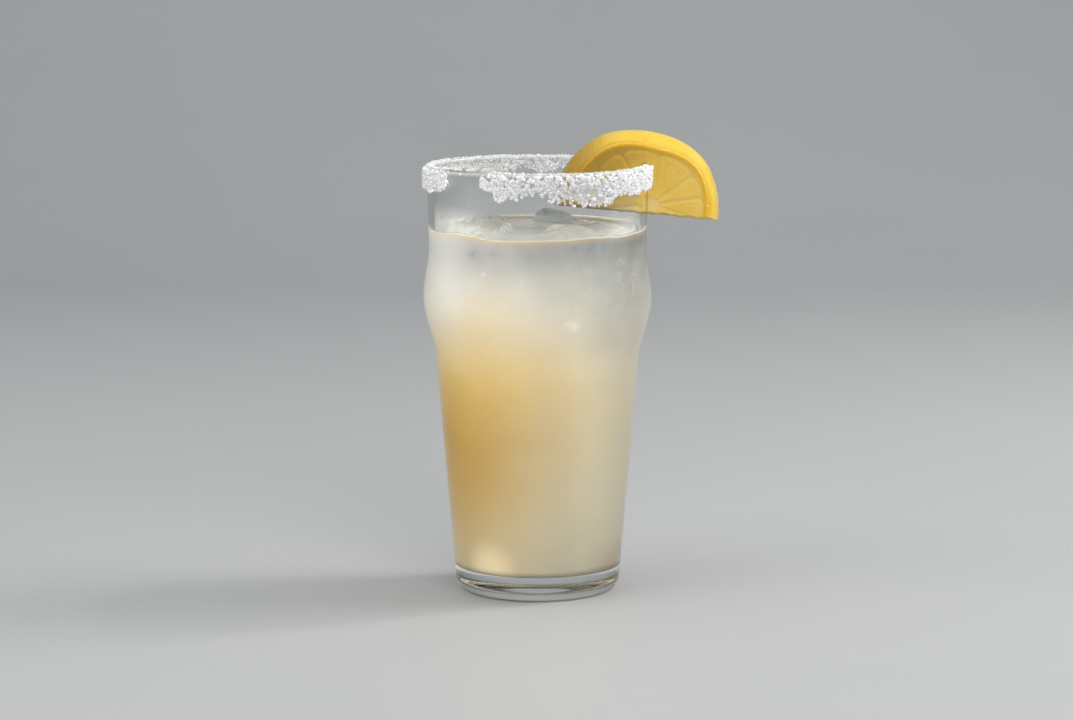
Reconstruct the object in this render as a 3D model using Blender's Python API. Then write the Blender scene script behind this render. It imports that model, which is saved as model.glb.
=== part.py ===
"""A tall bulged glass of cloudy lemonade with ice, a salted rim and a half slice of lemon hung on it.

Metres, +Z up. The origin is the centre of the glass's foot. +X points to the lemon slice, and the
front of the drink faces -Y.
"""

import math
import random

import bmesh
import bpy
from mathutils import Matrix, Vector, noise

GAP = 0.0003  # room between neighbours that touch

# The glass, from its foot up
GLASS_HEIGHT = 0.157
FOOT_FLAT_RADIUS = 0.0262
FOOT_RADIUS = 0.0302
FOOT_ROUND_HEIGHT = 0.0058
WAIST_RADIUS = 0.0372
WAIST_HEIGHT = 0.087
BULGE_RADIUS = 0.0418
BULGE_HEIGHT = 0.109
NECK_RADIUS = 0.0397
NECK_HEIGHT = 0.127
RIM_RADIUS = 0.0404
RIM_FLARE = 0.02  # the outer wall's slope at the rim
TAPER = (WAIST_RADIUS - FOOT_RADIUS) / (WAIST_HEIGHT - FOOT_ROUND_HEIGHT)
WALL_AT_RIM = 0.0022
WALL_AT_FOOT = 0.0027
FLOOR_THICKNESS = 0.0095
FLOOR_FILLET = 0.003
GLASS_SIDES = 48
STRAIGHT_STEP = 0.0160
CURVED_STEP = 0.0045
BEND_START = WAIST_HEIGHT - 0.003

# The drink
DRINK_LEVEL = 0.1335
MENISCUS_RISE = 0.0012
MENISCUS_WIDTH = 0.0022

# The ice that breaks the surface: name, centre, edge lengths, tilt about X, Y and Z in degrees
ICE = (
    ("ice_cube_left", (-0.0192, -0.0085, 0.1290), (0.0205, 0.0195, 0.0185), (9, -7, 24)),
    ("ice_cube_back", (0.0062, 0.0170, 0.1292), (0.0172, 0.0165, 0.0185), (-8, 15, -12)),
    ("ice_cube_front", (0.0118, -0.0185, 0.1265), (0.0205, 0.0180, 0.0185), (12, 8, 18)),
    ("ice_cube_right", (0.0258, 0.0012, 0.1257), (0.0165, 0.0160, 0.0175), (-6, -9, 33)),
)
ICE_SQUARENESS = 4.5  # the power of the rounded cube, where 2 is a ball
ICE_CUTS = 3
ICE_MELT = 0.035
ICE_POCKET = 1.4 * GAP  # the drink's corners round the ice lie further out than its flats

# The salt crust on the rim. Angles are in degrees from +X, and the front is at -90
SALT_TOP = GLASS_HEIGHT - 0.0011
SALT_THICKNESS = 0.0009
SALT_ROOT = 0.0007  # how far the crust reaches into the glass, so that the two join
SALT_SWELL = 0.35  # how much the crust's thickness comes and goes
SALT_RAGGEDNESS = 0.0007
SALT_STEP = 5
SALT_STRETCHES = (
    # each stretch is a list of (angle, depth below the crust's top)
    (
        (28, 0.0040), (52, 0.0055), (75, 0.0034), (86, 0.0060), (98, 0.0034), (112, 0.0068),
        (126, 0.0058), (142, 0.0045), (160, 0.0058), (178, 0.0072), (200, 0.0076), (212, 0.0056),
    ),
    (
        (240, 0.0040), (253, 0.0084), (262, 0.0074), (268, 0.0058), (281, 0.0090), (292, 0.0108),
        (305, 0.0112), (318, 0.0066), (326, 0.0074), (338, 0.0074), (350, 0.0062), (358, 0.0052),
    ),
)
SALT_GRAIN = 0.00105
SALT_GRAIN_SPREAD = 0.28
SALT_GRAIN_ARC = 6.6  # degrees between one column of grains and the next
SALT_GRAIN_ROW = 0.0029

# The lemon slice: radii from its core, of the pulp, the peel's front edge and its wider back edge, at
# every 45 degrees, anticlockwise from the right. The halving cut takes the lower part away
SLICE_OUTLINE = (
    (0.0189, 0.0205, 0.0276),
    (0.0188, 0.0216, 0.0285),
    (0.0191, 0.0209, 0.0285),
    (0.0229, 0.0267, 0.0319),
    (0.0238, 0.0300, 0.0343),
    (0.0225, 0.0280, 0.0330),
    (0.0210, 0.0250, 0.0305),
    (0.0195, 0.0220, 0.0285),
)
PULP_EDGE, FRONT_EDGE, BACK_EDGE = zip(*SLICE_OUTLINE)
MEMBRANES = (-12, 14, 42, 87, 126, 156, 190, 230, 268, 308)
MEMBRANE_HALF_ARC = 1.8
SLICE_THICKNESS = 0.0125
RIND_AT_BACK = 0.0034
PEEL_BULGE = 1.6
PEEL_STEPS = (0.0, 0.3, 0.65, 1.0)
CORE_RADIUS = 0.0014
PULP_RELIEF = 0.0004
PULP_SHOULDER = 0.0011
PULP_RINGS = (0.17, 0.55)  # shares of the pulp's radius
FLAT_BELOW_CORE = 0.0026
FLAT_RISE = 0.05  # the halving cut climbs a little towards the back
FLAT_ROUGHNESS = 0.0005
SLICE_CORE = Vector((0.0418, 0.0008, 0.1419))
SLICE_SWING = 10
SLICE_LEAN = 11
SLICE_ROLL = 6.5
SLIT_PLAY = 0.0005

SEED = 7
UP = Vector((0, 0, 1))


def clear_scene():
    for old in list(bpy.data.objects):
        bpy.data.objects.remove(old, do_unlink=True)


def material(name, colour, roughness, transmission=0.0):
    made = bpy.data.materials.new(name)
    made.use_nodes = True
    shader = made.node_tree.nodes["Principled BSDF"]
    shader.inputs["Base Color"].default_value = (*colour, 1)
    shader.inputs["Roughness"].default_value = roughness
    shader.inputs["Metallic"].default_value = 0.0
    shader.inputs["Transmission Weight"].default_value = transmission
    made.diffuse_color = (*colour, 1)
    return made


def object_from(name, bm, surface, smooth=True):
    """Makes an object of a bmesh, with its faces pointing out."""
    bmesh.ops.recalc_face_normals(bm, faces=bm.faces)
    mesh = bpy.data.meshes.new(name)
    bm.to_mesh(mesh)
    bm.free()
    if smooth:
        mesh.shade_smooth()
        mesh.set_sharp_from_angle(angle=math.radians(40))
    mesh.materials.append(surface)
    made = bpy.data.objects.new(name, mesh)
    bpy.context.scene.collection.objects.link(made)
    return made


def as_cutter(made):
    made.hide_render = True
    made.display_type = "WIRE"
    return made


def cut(body, cutter):
    modifier = body.modifiers.new("cut by " + cutter.name, "BOOLEAN")
    modifier.operation = "DIFFERENCE"
    modifier.object = cutter
    modifier.solver = "EXACT"


def hermite(share, span, start, end, slope_start, slope_end):
    """A cubic from start to end that leaves and arrives with the given slopes."""
    a = 2 * share**3 - 3 * share**2 + 1
    b = share**3 - 2 * share**2 + share
    c = -2 * share**3 + 3 * share**2
    d = share**3 - share**2
    return a * start + b * span * slope_start + c * end + d * span * slope_end


def outer_radius(z):
    """The outside of the glass above its rounded foot."""
    if z <= WAIST_HEIGHT:
        return FOOT_RADIUS + TAPER * (z - FOOT_ROUND_HEIGHT)
    stations = (
        (WAIST_HEIGHT, WAIST_RADIUS, TAPER),
        (BULGE_HEIGHT, BULGE_RADIUS, 0.0),
        (NECK_HEIGHT, NECK_RADIUS, 0.0),
        (GLASS_HEIGHT, RIM_RADIUS, RIM_FLARE),
    )
    for (z0, r0, s0), (z1, r1, s1) in zip(stations, stations[1:]):
        if z <= z1:
            return hermite((z - z0) / (z1 - z0), z1 - z0, r0, r1, s0, s1)
    return RIM_RADIUS


def wall(z):
    return WALL_AT_FOOT + (WALL_AT_RIM - WALL_AT_FOOT) * z / GLASS_HEIGHT


def inner_radius(z):
    return outer_radius(z) - wall(z)


def heights(low, high):
    """Heights between two ends, close together where the side curves."""
    found = [low]
    while found[-1] < high:
        curved = BEND_START < found[-1] < NECK_HEIGHT
        found.append(found[-1] + (CURVED_STEP if curved else STRAIGHT_STEP))
    if high - found[-2] < CURVED_STEP / 2:
        found.pop()
    found[-1] = high
    return found


def arc(centre_r, centre_z, radius_r, radius_z, start, end, steps):
    """Points along part of an ellipse in the (radius, height) plane, angles in degrees."""
    points = []
    for step in range(steps + 1):
        angle = math.radians(start + (end - start) * step / steps)
        points.append((centre_r + radius_r * math.cos(angle), centre_z + radius_z * math.sin(angle)))
    return points


def turned(profile, sides):
    """Spins an open outline in the XZ plane, whose ends lie on the axis, into a closed body."""
    bm = bmesh.new()
    points = [bm.verts.new((r, 0, z)) for r, z in profile]
    edges = [bm.edges.new(pair) for pair in zip(points, points[1:])]
    bmesh.ops.spin(
        bm, geom=points + edges, cent=(0, 0, 0), axis=UP, angle=math.tau, steps=sides, use_merge=True
    )
    bmesh.ops.remove_doubles(bm, verts=bm.verts, dist=1e-6)
    return bm


def cavity_outline(inset, top):
    """The inside of the glass from the floor's centre up to a height, moved in by an inset."""
    floor = FLOOR_THICKNESS + inset
    corner_z = floor + FLOOR_FILLET
    corner_r = inner_radius(corner_z) - inset
    outline = [(0, floor)]
    outline += arc(corner_r - FLOOR_FILLET, corner_z, FLOOR_FILLET, FLOOR_FILLET, -90, 0, 3)
    outline += [(inner_radius(z) - inset, z) for z in heights(corner_z, top)[1:]]
    return outline


def glass_outline():
    """The whole section of the glass, from the centre of its foot round to the centre of its floor."""
    foot = arc(
        FOOT_FLAT_RADIUS, FOOT_ROUND_HEIGHT, FOOT_RADIUS - FOOT_FLAT_RADIUS, FOOT_ROUND_HEIGHT, -90, 0, 5
    )
    lip = WALL_AT_RIM / 2
    lip_z = GLASS_HEIGHT - lip
    side = [(outer_radius(z), z) for z in heights(FOOT_ROUND_HEIGHT, lip_z)[1:]]
    top = arc(RIM_RADIUS - lip, lip_z, lip, lip, 0, 180, 6)[1:-1]
    return [(0, 0)] + foot + side + top + cavity_outline(0, lip_z)[::-1]


def stretch_depth(stretch, angle):
    """How far the salt crust hangs down at an angle, eased between the stretch's own points."""
    for (a0, d0), (a1, d1) in zip(stretch, stretch[1:]):
        if angle <= a1:
            share = (angle - a0) / (a1 - a0)
            eased = share * share * (3 - 2 * share)
            ragged = SALT_RAGGEDNESS * noise.noise(Vector((angle * 0.45, 1.7, 0.3)))
            return d0 + (d1 - d0) * eased + ragged
    return stretch[-1][1]


def salt_band(name, stretch, surface):
    """One stretch of crust, lofted round the rim from sections with a ragged lower edge."""
    first, last = stretch[0][0], stretch[-1][0]
    count = round((last - first) / SALT_STEP)
    bm = bmesh.new()
    sections = []
    for index in range(count + 1):
        angle = first + (last - first) * index / count
        low = SALT_TOP - stretch_depth(stretch, angle)
        swell = SALT_THICKNESS * (1 + SALT_SWELL * noise.noise(Vector((angle * 0.21, 5.1, 2.2))))
        middle = (low + SALT_TOP) / 2
        section = (
            (outer_radius(low) - SALT_ROOT, low + 0.0002),
            (outer_radius(low) + 0.4 * swell, low),
            (outer_radius(middle) + swell, middle),
            (outer_radius(SALT_TOP) + 0.7 * swell, SALT_TOP - 0.0004),
            (outer_radius(SALT_TOP) - SALT_ROOT, SALT_TOP),
        )
        turn = math.radians(angle)
        sections.append([bm.verts.new((r * math.cos(turn), r * math.sin(turn), z)) for r, z in section])
    for here, there in zip(sections, sections[1:]):
        for k in range(len(here)):
            after = (k + 1) % len(here)
            bm.faces.new((here[k], here[after], there[after], there[k]))
    bm.faces.new(sections[0])
    bm.faces.new(sections[-1][::-1])
    return object_from(name, bm, surface, smooth=False)


def salt_grain(name, place, radius, draw, surface):
    """One coarse crystal: an icosahedron with its corners moved and its sides stretched."""
    bm = bmesh.new()
    bmesh.ops.create_icosphere(bm, subdivisions=1, radius=radius)
    stretch = Vector([draw.uniform(0.82, 1.2) for _ in range(3)])
    for vert in bm.verts:
        vert.co = vert.co * stretch * draw.uniform(0.9, 1.1)
    turn = Matrix.Rotation(draw.uniform(0, math.tau), 4, Vector([draw.uniform(-1, 1) for _ in range(3)]))
    bmesh.ops.transform(bm, matrix=Matrix.Translation(place) @ turn, verts=bm.verts)
    return object_from(name, bm, surface, smooth=False)


def salt_grains(surface):
    """The largest grains, in staggered columns down each stretch and along its lower edge."""
    draw = random.Random(SEED)
    made = []
    for stretch in SALT_STRETCHES:
        first, last = stretch[0][0] + 1.5, stretch[-1][0] - 1.5
        columns = round((last - first) / SALT_GRAIN_ARC)
        for column in range(columns + 1):
            centre = first + (last - first) * column / columns
            depth = stretch_depth(stretch, centre)
            rows = max(1, round(depth / SALT_GRAIN_ROW))
            for row in range(rows):
                angle = math.radians(centre + draw.uniform(-1.3, 1.3))
                stagger = 0.25 if column % 2 else 0.75
                z = SALT_TOP - depth * min(1.0, (row + stagger + draw.uniform(0.0, 0.3)) / rows)
                radius = SALT_GRAIN * (1 + draw.uniform(-SALT_GRAIN_SPREAD, SALT_GRAIN_SPREAD))
                out = outer_radius(z) + 0.35 * radius
                place = Vector((out * math.cos(angle), out * math.sin(angle), z))
                made.append(salt_grain(f"grain_{len(made)}", place, radius, draw, surface))
    return made


def fuse(body, pieces):
    """Joins the pieces to the body with one union, then drops scraps and fills sealed hollows."""
    group = bpy.data.collections.new(body.name + "_fused_on")
    for piece in pieces:
        group.objects.link(piece)
    union = body.modifiers.new("fused", "BOOLEAN")
    union.operation = "UNION"
    union.operand_type = "COLLECTION"
    union.collection = group
    union.solver = "EXACT"
    graph = bpy.context.evaluated_depsgraph_get()
    joined = bpy.data.meshes.new_from_object(body.evaluated_get(graph))
    body.modifiers.clear()
    for piece in pieces:
        bpy.data.objects.remove(piece, do_unlink=True)
    bpy.data.collections.remove(group)
    bm = bmesh.new()
    bm.from_mesh(joined)
    keep_largest_shell(bm)
    bm.to_mesh(joined)
    bm.free()
    body.data = joined


def keep_largest_shell(bm):
    """Removes every closed shell but the one with the most faces."""
    left = set(bm.faces)
    shells = []
    while left:
        shell = [left.pop()]
        for face in shell:
            for edge in face.edges:
                for other in edge.link_faces:
                    if other in left:
                        left.discard(other)
                        shell.append(other)
        shells.append(shell)
    shells.sort(key=len)
    loose = [face for shell in shells[:-1] for face in shell]
    bmesh.ops.delete(bm, geom=loose, context="FACES")


def build_glass():
    clear = material("clear_glass", (0.93, 0.95, 0.94), 0.03, transmission=1.0)
    glass = object_from("glass", turned(glass_outline(), GLASS_SIDES), clear)
    bands = [salt_band(f"salt_band_{k}", s, clear) for k, s in enumerate(SALT_STRETCHES)]
    fuse(glass, bands + salt_grains(clear))
    return glass


def drink_outline():
    """The section of the drink, with the surface drawn up a little where it meets the glass."""
    edge_z = DRINK_LEVEL + MENISCUS_RISE
    side = cavity_outline(GAP, edge_z)
    edge_r = side[-1][0]
    surface = []
    for share in (0.6, 1.4, 3.0):
        drop = share * MENISCUS_WIDTH
        surface.append((edge_r - drop, DRINK_LEVEL + MENISCUS_RISE * math.exp(-2.0 * share)))
    return side + surface + [(edge_r / 2, DRINK_LEVEL), (0, DRINK_LEVEL)]


def ice_shape(size, grow):
    """A rounded, slightly melted block of ice round the origin, larger all over by grow."""
    bm = bmesh.new()
    bmesh.ops.create_cube(bm, size=2)
    bmesh.ops.subdivide_edges(bm, edges=bm.edges, cuts=ICE_CUTS, use_grid_fill=True)
    half = Vector(size) / 2
    for vert in bm.verts:
        corner = sum(abs(c) ** ICE_SQUARENESS for c in vert.co) ** (1 / ICE_SQUARENESS)
        side = vert.co / corner
        dent = 1 + ICE_MELT * noise.noise(side * 1.3 + half * 400)
        vert.co = side * half * dent + side.normalized() * grow
    return bm


def build_ice(drink):
    frozen = material("ice", (0.90, 0.93, 0.95), 0.08, transmission=0.9)
    made = []
    for name, centre, size, tilt in ICE:
        turn = Matrix.Rotation(math.radians(tilt[2]), 4, "Z")
        turn = turn @ Matrix.Rotation(math.radians(tilt[1]), 4, "Y")
        turn = turn @ Matrix.Rotation(math.radians(tilt[0]), 4, "X")
        place = Matrix.Translation(centre) @ turn
        cube = object_from(name, ice_shape(size, 0), frozen)
        cube.matrix_world = place
        pocket = as_cutter(object_from(name + "_pocket", ice_shape(size, ICE_POCKET), frozen))
        pocket.matrix_world = place
        cut(drink, pocket)
        made.append(cube)
    return made


def build_drink():
    cloudy = material("lemonade", (0.80, 0.68, 0.42), 0.12)
    return object_from("lemonade", turned(drink_outline(), GLASS_SIDES), cloudy)


def around(stations, angle):
    """A smooth closed curve through radii that are given at even steps round a full turn."""
    count = len(stations)
    place = (angle % 360) * count / 360
    index = int(place)
    before, here, after, beyond = (stations[(index + k) % count] for k in (-1, 0, 1, 2))
    return hermite(place - index, 1, here, after, (after - before) / 2, (beyond - here) / 2)


def slice_directions():
    """Directions from the core: both edges of each membrane, and two places between them."""
    found = []
    for start, end in zip(MEMBRANES, MEMBRANES[1:] + (MEMBRANES[0] + 360,)):
        low, high = start + MEMBRANE_HALF_ARC, end - MEMBRANE_HALF_ARC
        found.append((start, False))
        found += [(low + (high - low) * share, True) for share in (0, 1 / 3, 2 / 3, 1)]
    return found


def slice_ring(radii, level):
    """One ring of points, from a radius and a level for each direction."""
    ring = []
    for (angle, pulp), radius in zip(slice_directions(), radii):
        turn = math.radians(angle)
        ring.append(Vector((radius * math.cos(turn), radius * math.sin(turn), level * pulp)))
    return ring


def cut_face(pulp_radii, level, outward):
    """Rings across one cut face, from near the core to the pulp's edge, with the pulp raised."""
    raised = PULP_RELIEF * outward
    rings = [slice_ring([CORE_RADIUS] * len(pulp_radii), 0)]
    rings += [slice_ring([share * radius for radius in pulp_radii], raised) for share in PULP_RINGS]
    rings.append(slice_ring([radius - PULP_SHOULDER for radius in pulp_radii], raised))
    rings.append(slice_ring(pulp_radii, 0))
    return [[point + Vector((0, 0, level)) for point in ring] for ring in rings]


def peel():
    """Rings down the peel, from the front edge to the wider back edge."""
    rings = []
    for share in PEEL_STEPS:
        widened = 1 - (1 - share) ** PEEL_BULGE
        radii = []
        for angle, _ in slice_directions():
            front, back = around(FRONT_EDGE, angle), around(BACK_EDGE, angle)
            radii.append(front + (back - front) * widened)
        level = Vector((0, 0, -SLICE_THICKNESS * share))
        rings.append([point + level for point in slice_ring(radii, 0)])
    return rings


def whole_wheel():
    """The full round slice in its own frame: the core at the origin and the front face along +Z."""
    front_pulp = [around(PULP_EDGE, angle) for angle, _ in slice_directions()]
    back_pulp = [around(BACK_EDGE, angle) - RIND_AT_BACK for angle, _ in slice_directions()]
    rings = cut_face(front_pulp, 0, 1) + peel() + cut_face(back_pulp, -SLICE_THICKNESS, -1)[::-1]
    bm = bmesh.new()
    rows = [[bm.verts.new(point) for point in ring] for ring in rings]
    for here, there in zip(rows, rows[1:]):
        for k in range(len(here)):
            after = (k + 1) % len(here)
            bm.faces.new((here[k], here[after], there[after], there[k]))
    for row in (rows[0], rows[-1]):
        hub = bm.verts.new(sum((v.co for v in row), Vector()) / len(row))
        for k in range(len(row)):
            bm.faces.new((row[k], row[(k + 1) % len(row)], hub))
    return bm


def slice_placement():
    turn = Matrix.Rotation(math.radians(SLICE_SWING), 4, "Z")
    turn = turn @ Matrix.Rotation(math.radians(-SLICE_LEAN), 4, "X")
    turn = turn @ Matrix.Rotation(math.radians(SLICE_ROLL), 4, "Y")
    upright = Matrix.Rotation(math.radians(90), 4, "X")  # the slice's +Z turns to -Y, its +Y to +Z
    return Matrix.Translation(SLICE_CORE) @ turn @ upright


def halving_block(surface):
    """Everything below the halving cut, with the slightly rough top that a knife leaves."""
    bm = bmesh.new()
    half = 1.4 * max(BACK_EDGE)
    bmesh.ops.create_grid(bm, x_segments=14, y_segments=4, size=1)
    for vert in bm.verts:
        x, y = vert.co.x * half, vert.co.y * SLICE_THICKNESS
        rough = FLAT_ROUGHNESS * noise.noise(Vector((x * 320, y * 210, 4.0)))
        depth = y - SLICE_THICKNESS / 2
        vert.co = Vector((x, rough - FLAT_BELOW_CORE - FLAT_RISE * depth, depth))
    raised = bmesh.ops.extrude_face_region(bm, geom=bm.faces)
    for item in raised["geom"]:
        if isinstance(item, bmesh.types.BMVert):
            item.co.y = -half
    return as_cutter(object_from("halving_cut", bm, surface, smooth=False))


def slit_ring(surface):
    """The glass's wall near the rim, grown by the slit's play."""
    low = DRINK_LEVEL
    top = GLASS_HEIGHT + SLIT_PLAY
    levels = [low + (GLASS_HEIGHT - low) * k / 3 for k in range(3)]
    outside = [(outer_radius(z) + SLIT_PLAY, z) for z in levels] + [(RIM_RADIUS + SLIT_PLAY, top)]
    inside = [(inner_radius(z) - SLIT_PLAY, z) for z in levels]
    inside.append((RIM_RADIUS - WALL_AT_RIM - SLIT_PLAY, top))
    outline = outside + inside[::-1]
    outline.append(outline[0])
    return as_cutter(object_from("slit_cut", turned(outline, GLASS_SIDES), surface))


def build_lemon():
    fruit = material("lemon", (0.86, 0.66, 0.14), 0.35)
    wheel = object_from("lemon_slice", whole_wheel(), fruit)
    wheel.matrix_world = slice_placement()
    halving = halving_block(fruit)
    halving.matrix_world = slice_placement()
    cut(wheel, halving)
    cut(wheel, slit_ring(fruit))
    return wheel


def main():
    clear_scene()
    build_glass()
    build_ice(build_drink())
    build_lemon()


main()
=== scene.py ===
"""The looks of a bulged glass of cloudy lemonade with ice, a salted rim and a half slice of lemon.

Metres, +Z up, the glass's axis at X = Y = 0. Angles round the glass are in degrees from +X, so that its
front, which faces -Y, is at 270.
"""

import math

import bmesh
import bpy
from mathutils import Matrix, Vector, noise


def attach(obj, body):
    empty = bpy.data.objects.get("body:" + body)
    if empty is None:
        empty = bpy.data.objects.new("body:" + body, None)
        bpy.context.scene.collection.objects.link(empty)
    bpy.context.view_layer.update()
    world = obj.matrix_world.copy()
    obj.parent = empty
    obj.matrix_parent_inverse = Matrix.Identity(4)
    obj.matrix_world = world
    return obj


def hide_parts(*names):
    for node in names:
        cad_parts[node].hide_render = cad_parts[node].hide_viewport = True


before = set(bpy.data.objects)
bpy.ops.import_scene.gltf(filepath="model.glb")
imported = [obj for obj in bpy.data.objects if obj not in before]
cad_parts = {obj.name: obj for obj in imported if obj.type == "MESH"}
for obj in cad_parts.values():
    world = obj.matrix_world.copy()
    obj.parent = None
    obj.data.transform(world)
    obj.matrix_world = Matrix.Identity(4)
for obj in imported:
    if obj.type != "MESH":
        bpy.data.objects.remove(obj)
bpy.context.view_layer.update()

# The glass
GLASS_HEIGHT = 0.157
FOOT_FLAT_RADIUS = 0.0262
FOOT_RADIUS = 0.0302
FOOT_ROUND_HEIGHT = 0.0058
WAIST_RADIUS = 0.0372
WAIST_HEIGHT = 0.087
BULGE_RADIUS = 0.0418
BULGE_HEIGHT = 0.109
NECK_RADIUS = 0.0397
NECK_HEIGHT = 0.127
RIM_RADIUS = 0.0404
RIM_FLARE = 0.02
TAPER = (WAIST_RADIUS - FOOT_RADIUS) / (WAIST_HEIGHT - FOOT_ROUND_HEIGHT)
WALL_AT_RIM = 0.0022
WALL_AT_FOOT = 0.0027
LIP = WALL_AT_RIM / 2
LIP_Z = GLASS_HEIGHT - LIP
LIP_CENTRE = RIM_RADIUS - LIP
FLOOR_THICKNESS = 0.0095
FLOOR_FILLET = 0.003
PUNT_RADIUS = 0.0215
PUNT_DEPTH = 0.0014

# The drink
DRINK_LEVEL = 0.1335
MENISCUS_RISE = 0.0012
INTO_WALL = 0.00015

# The ice: node, centre, edge lengths, tilt about X, Y and Z in degrees
ICE = (
    ("ice_cube_left", (-0.0192, -0.0085, 0.1290), (0.0205, 0.0195, 0.0185), (9, -7, 24)),
    ("ice_cube_back", (0.0062, 0.0170, 0.1292), (0.0172, 0.0165, 0.0185), (-8, 15, -12)),
    ("ice_cube_front", (0.0118, -0.0185, 0.1265), (0.0205, 0.0180, 0.0185), (12, 8, 18)),
    ("ice_cube_right", (0.0258, 0.0012, 0.1257), (0.0165, 0.0160, 0.0175), (-6, -9, 33)),
)
ICE_SQUARENESS = 4.5
ICE_CUTS = 40

# The salt crust: stretches of (angle, depth below the crust's top)
SALT_TOP = GLASS_HEIGHT - 0.0011
SALT_STRETCHES = (
    (
        (28, 0.0040), (52, 0.0055), (75, 0.0034), (86, 0.0060), (98, 0.0034), (112, 0.0068),
        (126, 0.0058), (142, 0.0045), (160, 0.0058), (178, 0.0072),
        (191, 0.0062), (200, 0.0078), (207, 0.0048), (213, 0.0072), (218, 0.0040),
    ),
    (
        (240, 0.0040), (253, 0.0084), (262, 0.0074), (268, 0.0058), (281, 0.0090), (292, 0.0108),
        (305, 0.0112), (318, 0.0066), (326, 0.0074), (338, 0.0074), (350, 0.0062), (358, 0.0052),
    ),
)

# The lemon slice: radii from its core of the pulp, the peel's front edge and its back edge, every 45 degrees
SLICE_OUTLINE = (
    (0.0189, 0.0205, 0.0276),
    (0.0188, 0.0216, 0.0285),
    (0.0191, 0.0209, 0.0285),
    (0.0229, 0.0267, 0.0319),
    (0.0238, 0.0300, 0.0343),
    (0.0225, 0.0280, 0.0330),
    (0.0210, 0.0250, 0.0305),
    (0.0195, 0.0220, 0.0285),
)
PULP_EDGE, FRONT_EDGE, BACK_EDGE = zip(*SLICE_OUTLINE)
MEMBRANES = (-12, 14, 42, 87, 126, 156, 190, 230, 268, 308)
SLICE_THICKNESS = 0.0125
RIND_AT_BACK = 0.0034
PEEL_BULGE = 1.6
CORE_RADIUS = 0.0014
MEMBRANE_HALF = 0.00016
PULP_LIFT = 0.00026
KEPT_HALF = (-26, 206)
FACE_RINGS = 46
PEEL_RINGS = 26
FLAT_BELOW_CORE = 0.0026
FLAT_RISE = 0.05
SLICE_CORE = Vector((0.0418, 0.0008, 0.1419))
SLICE_SWING = 10
SLICE_LEAN = 11
SLICE_ROLL = 6.5
SLIT_PLAY = 0.00012


# Shapes shared by several pieces

def hermite(share, span, start, end, slope_start, slope_end):
    """A cubic from start to end that leaves and arrives with the given slopes."""
    a = 2 * share**3 - 3 * share**2 + 1
    b = share**3 - 2 * share**2 + share
    c = -2 * share**3 + 3 * share**2
    d = share**3 - share**2
    return a * start + b * span * slope_start + c * end + d * span * slope_end


def waver(*place):
    """Smooth noise, from about -1 to 1, at a place of three coordinates."""
    return noise.noise(Vector(place))


def smooth(low, high, value):
    """0 below low, 1 above high, eased between."""
    share = min(1.0, max(0.0, (value - low) / (high - low)))
    return share * share * (3 - 2 * share)


def outer_radius(z):
    """The outside of the glass above its rounded foot."""
    if z <= WAIST_HEIGHT:
        return FOOT_RADIUS + TAPER * (z - FOOT_ROUND_HEIGHT)
    stations = (
        (WAIST_HEIGHT, WAIST_RADIUS, TAPER),
        (BULGE_HEIGHT, BULGE_RADIUS, 0.0),
        (NECK_HEIGHT, NECK_RADIUS, 0.0),
        (GLASS_HEIGHT, RIM_RADIUS, RIM_FLARE),
    )
    for (z0, r0, s0), (z1, r1, s1) in zip(stations, stations[1:]):
        if z <= z1:
            return hermite((z - z0) / (z1 - z0), z1 - z0, r0, r1, s0, s1)
    return RIM_RADIUS


def inner_radius(z):
    """The inside of the glass above the fillet round its floor."""
    return outer_radius(z) - (WALL_AT_FOOT + (WALL_AT_RIM - WALL_AT_FOOT) * z / GLASS_HEIGHT)


def arc(centre_r, centre_z, radius_r, radius_z, start, end, steps):
    """Points along part of an ellipse in the (radius, height) plane, angles in degrees."""
    turns = [math.radians(start + (end - start) * step / steps) for step in range(steps + 1)]
    return [(centre_r + radius_r * math.cos(t), centre_z + radius_z * math.sin(t)) for t in turns]


def spot(radius, turn, z):
    """A point at a turn round the axis, in radians."""
    return radius * math.cos(turn), radius * math.sin(turn), z


def full_turn(count):
    return [math.tau * k / count for k in range(count)]


def bell(*steps):
    """1 where every step is 0, and falling off smoothly to 0 round it."""
    return math.exp(-sum(step**2 for step in steps))


def levels(low, high, step):
    """Even steps from low to high, each about as long as the step."""
    count = max(1, round((high - low) / step))
    return [low + (high - low) * k / count for k in range(count + 1)]


def cavity_outline(inset, top, step):
    """The inside of the glass from the floor's centre up to a height, moved in by an inset."""
    floor = FLOOR_THICKNESS + inset
    corner_z = floor + FLOOR_FILLET
    corner_r = inner_radius(corner_z) - inset
    outline = [(r, floor) for r in levels(0, corner_r - FLOOR_FILLET, 0.003)]
    outline += arc(corner_r - FLOOR_FILLET, corner_z, FLOOR_FILLET, FLOOR_FILLET, -90, 0, 8)[1:]
    outline += [(inner_radius(z) - inset, z) for z in levels(corner_z, top, step)[1:]]
    return outline


def added(name, data):
    """A new object in the scene."""
    made = bpy.data.objects.new(name, data)
    bpy.context.scene.collection.objects.link(made)
    return made


def piece(name, mesh, *finishes):
    """An object in the shared frame, smooth shaded, with its finishes."""
    mesh.shade_smooth()
    for finish in finishes:
        mesh.materials.append(finish)
    return added(name, mesh)


def mesh_of(name, points, faces):
    mesh = bpy.data.meshes.new(name)
    mesh.from_pydata([tuple(p) for p in points], [], faces)
    mesh.update()
    return mesh


def outward(mesh):
    """Turns the faces of a closed mesh outwards."""
    bm = bmesh.new()
    bm.from_mesh(mesh)
    bmesh.ops.recalc_face_normals(bm, faces=bm.faces)
    bm.to_mesh(mesh)
    bm.free()
    return mesh


def store(mesh, name, values):
    """Keeps a value for each point of a mesh, for its finish or its scattering to read."""
    mesh.attributes.new(name, "FLOAT", "POINT").data.foreach_set("value", values)


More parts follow.
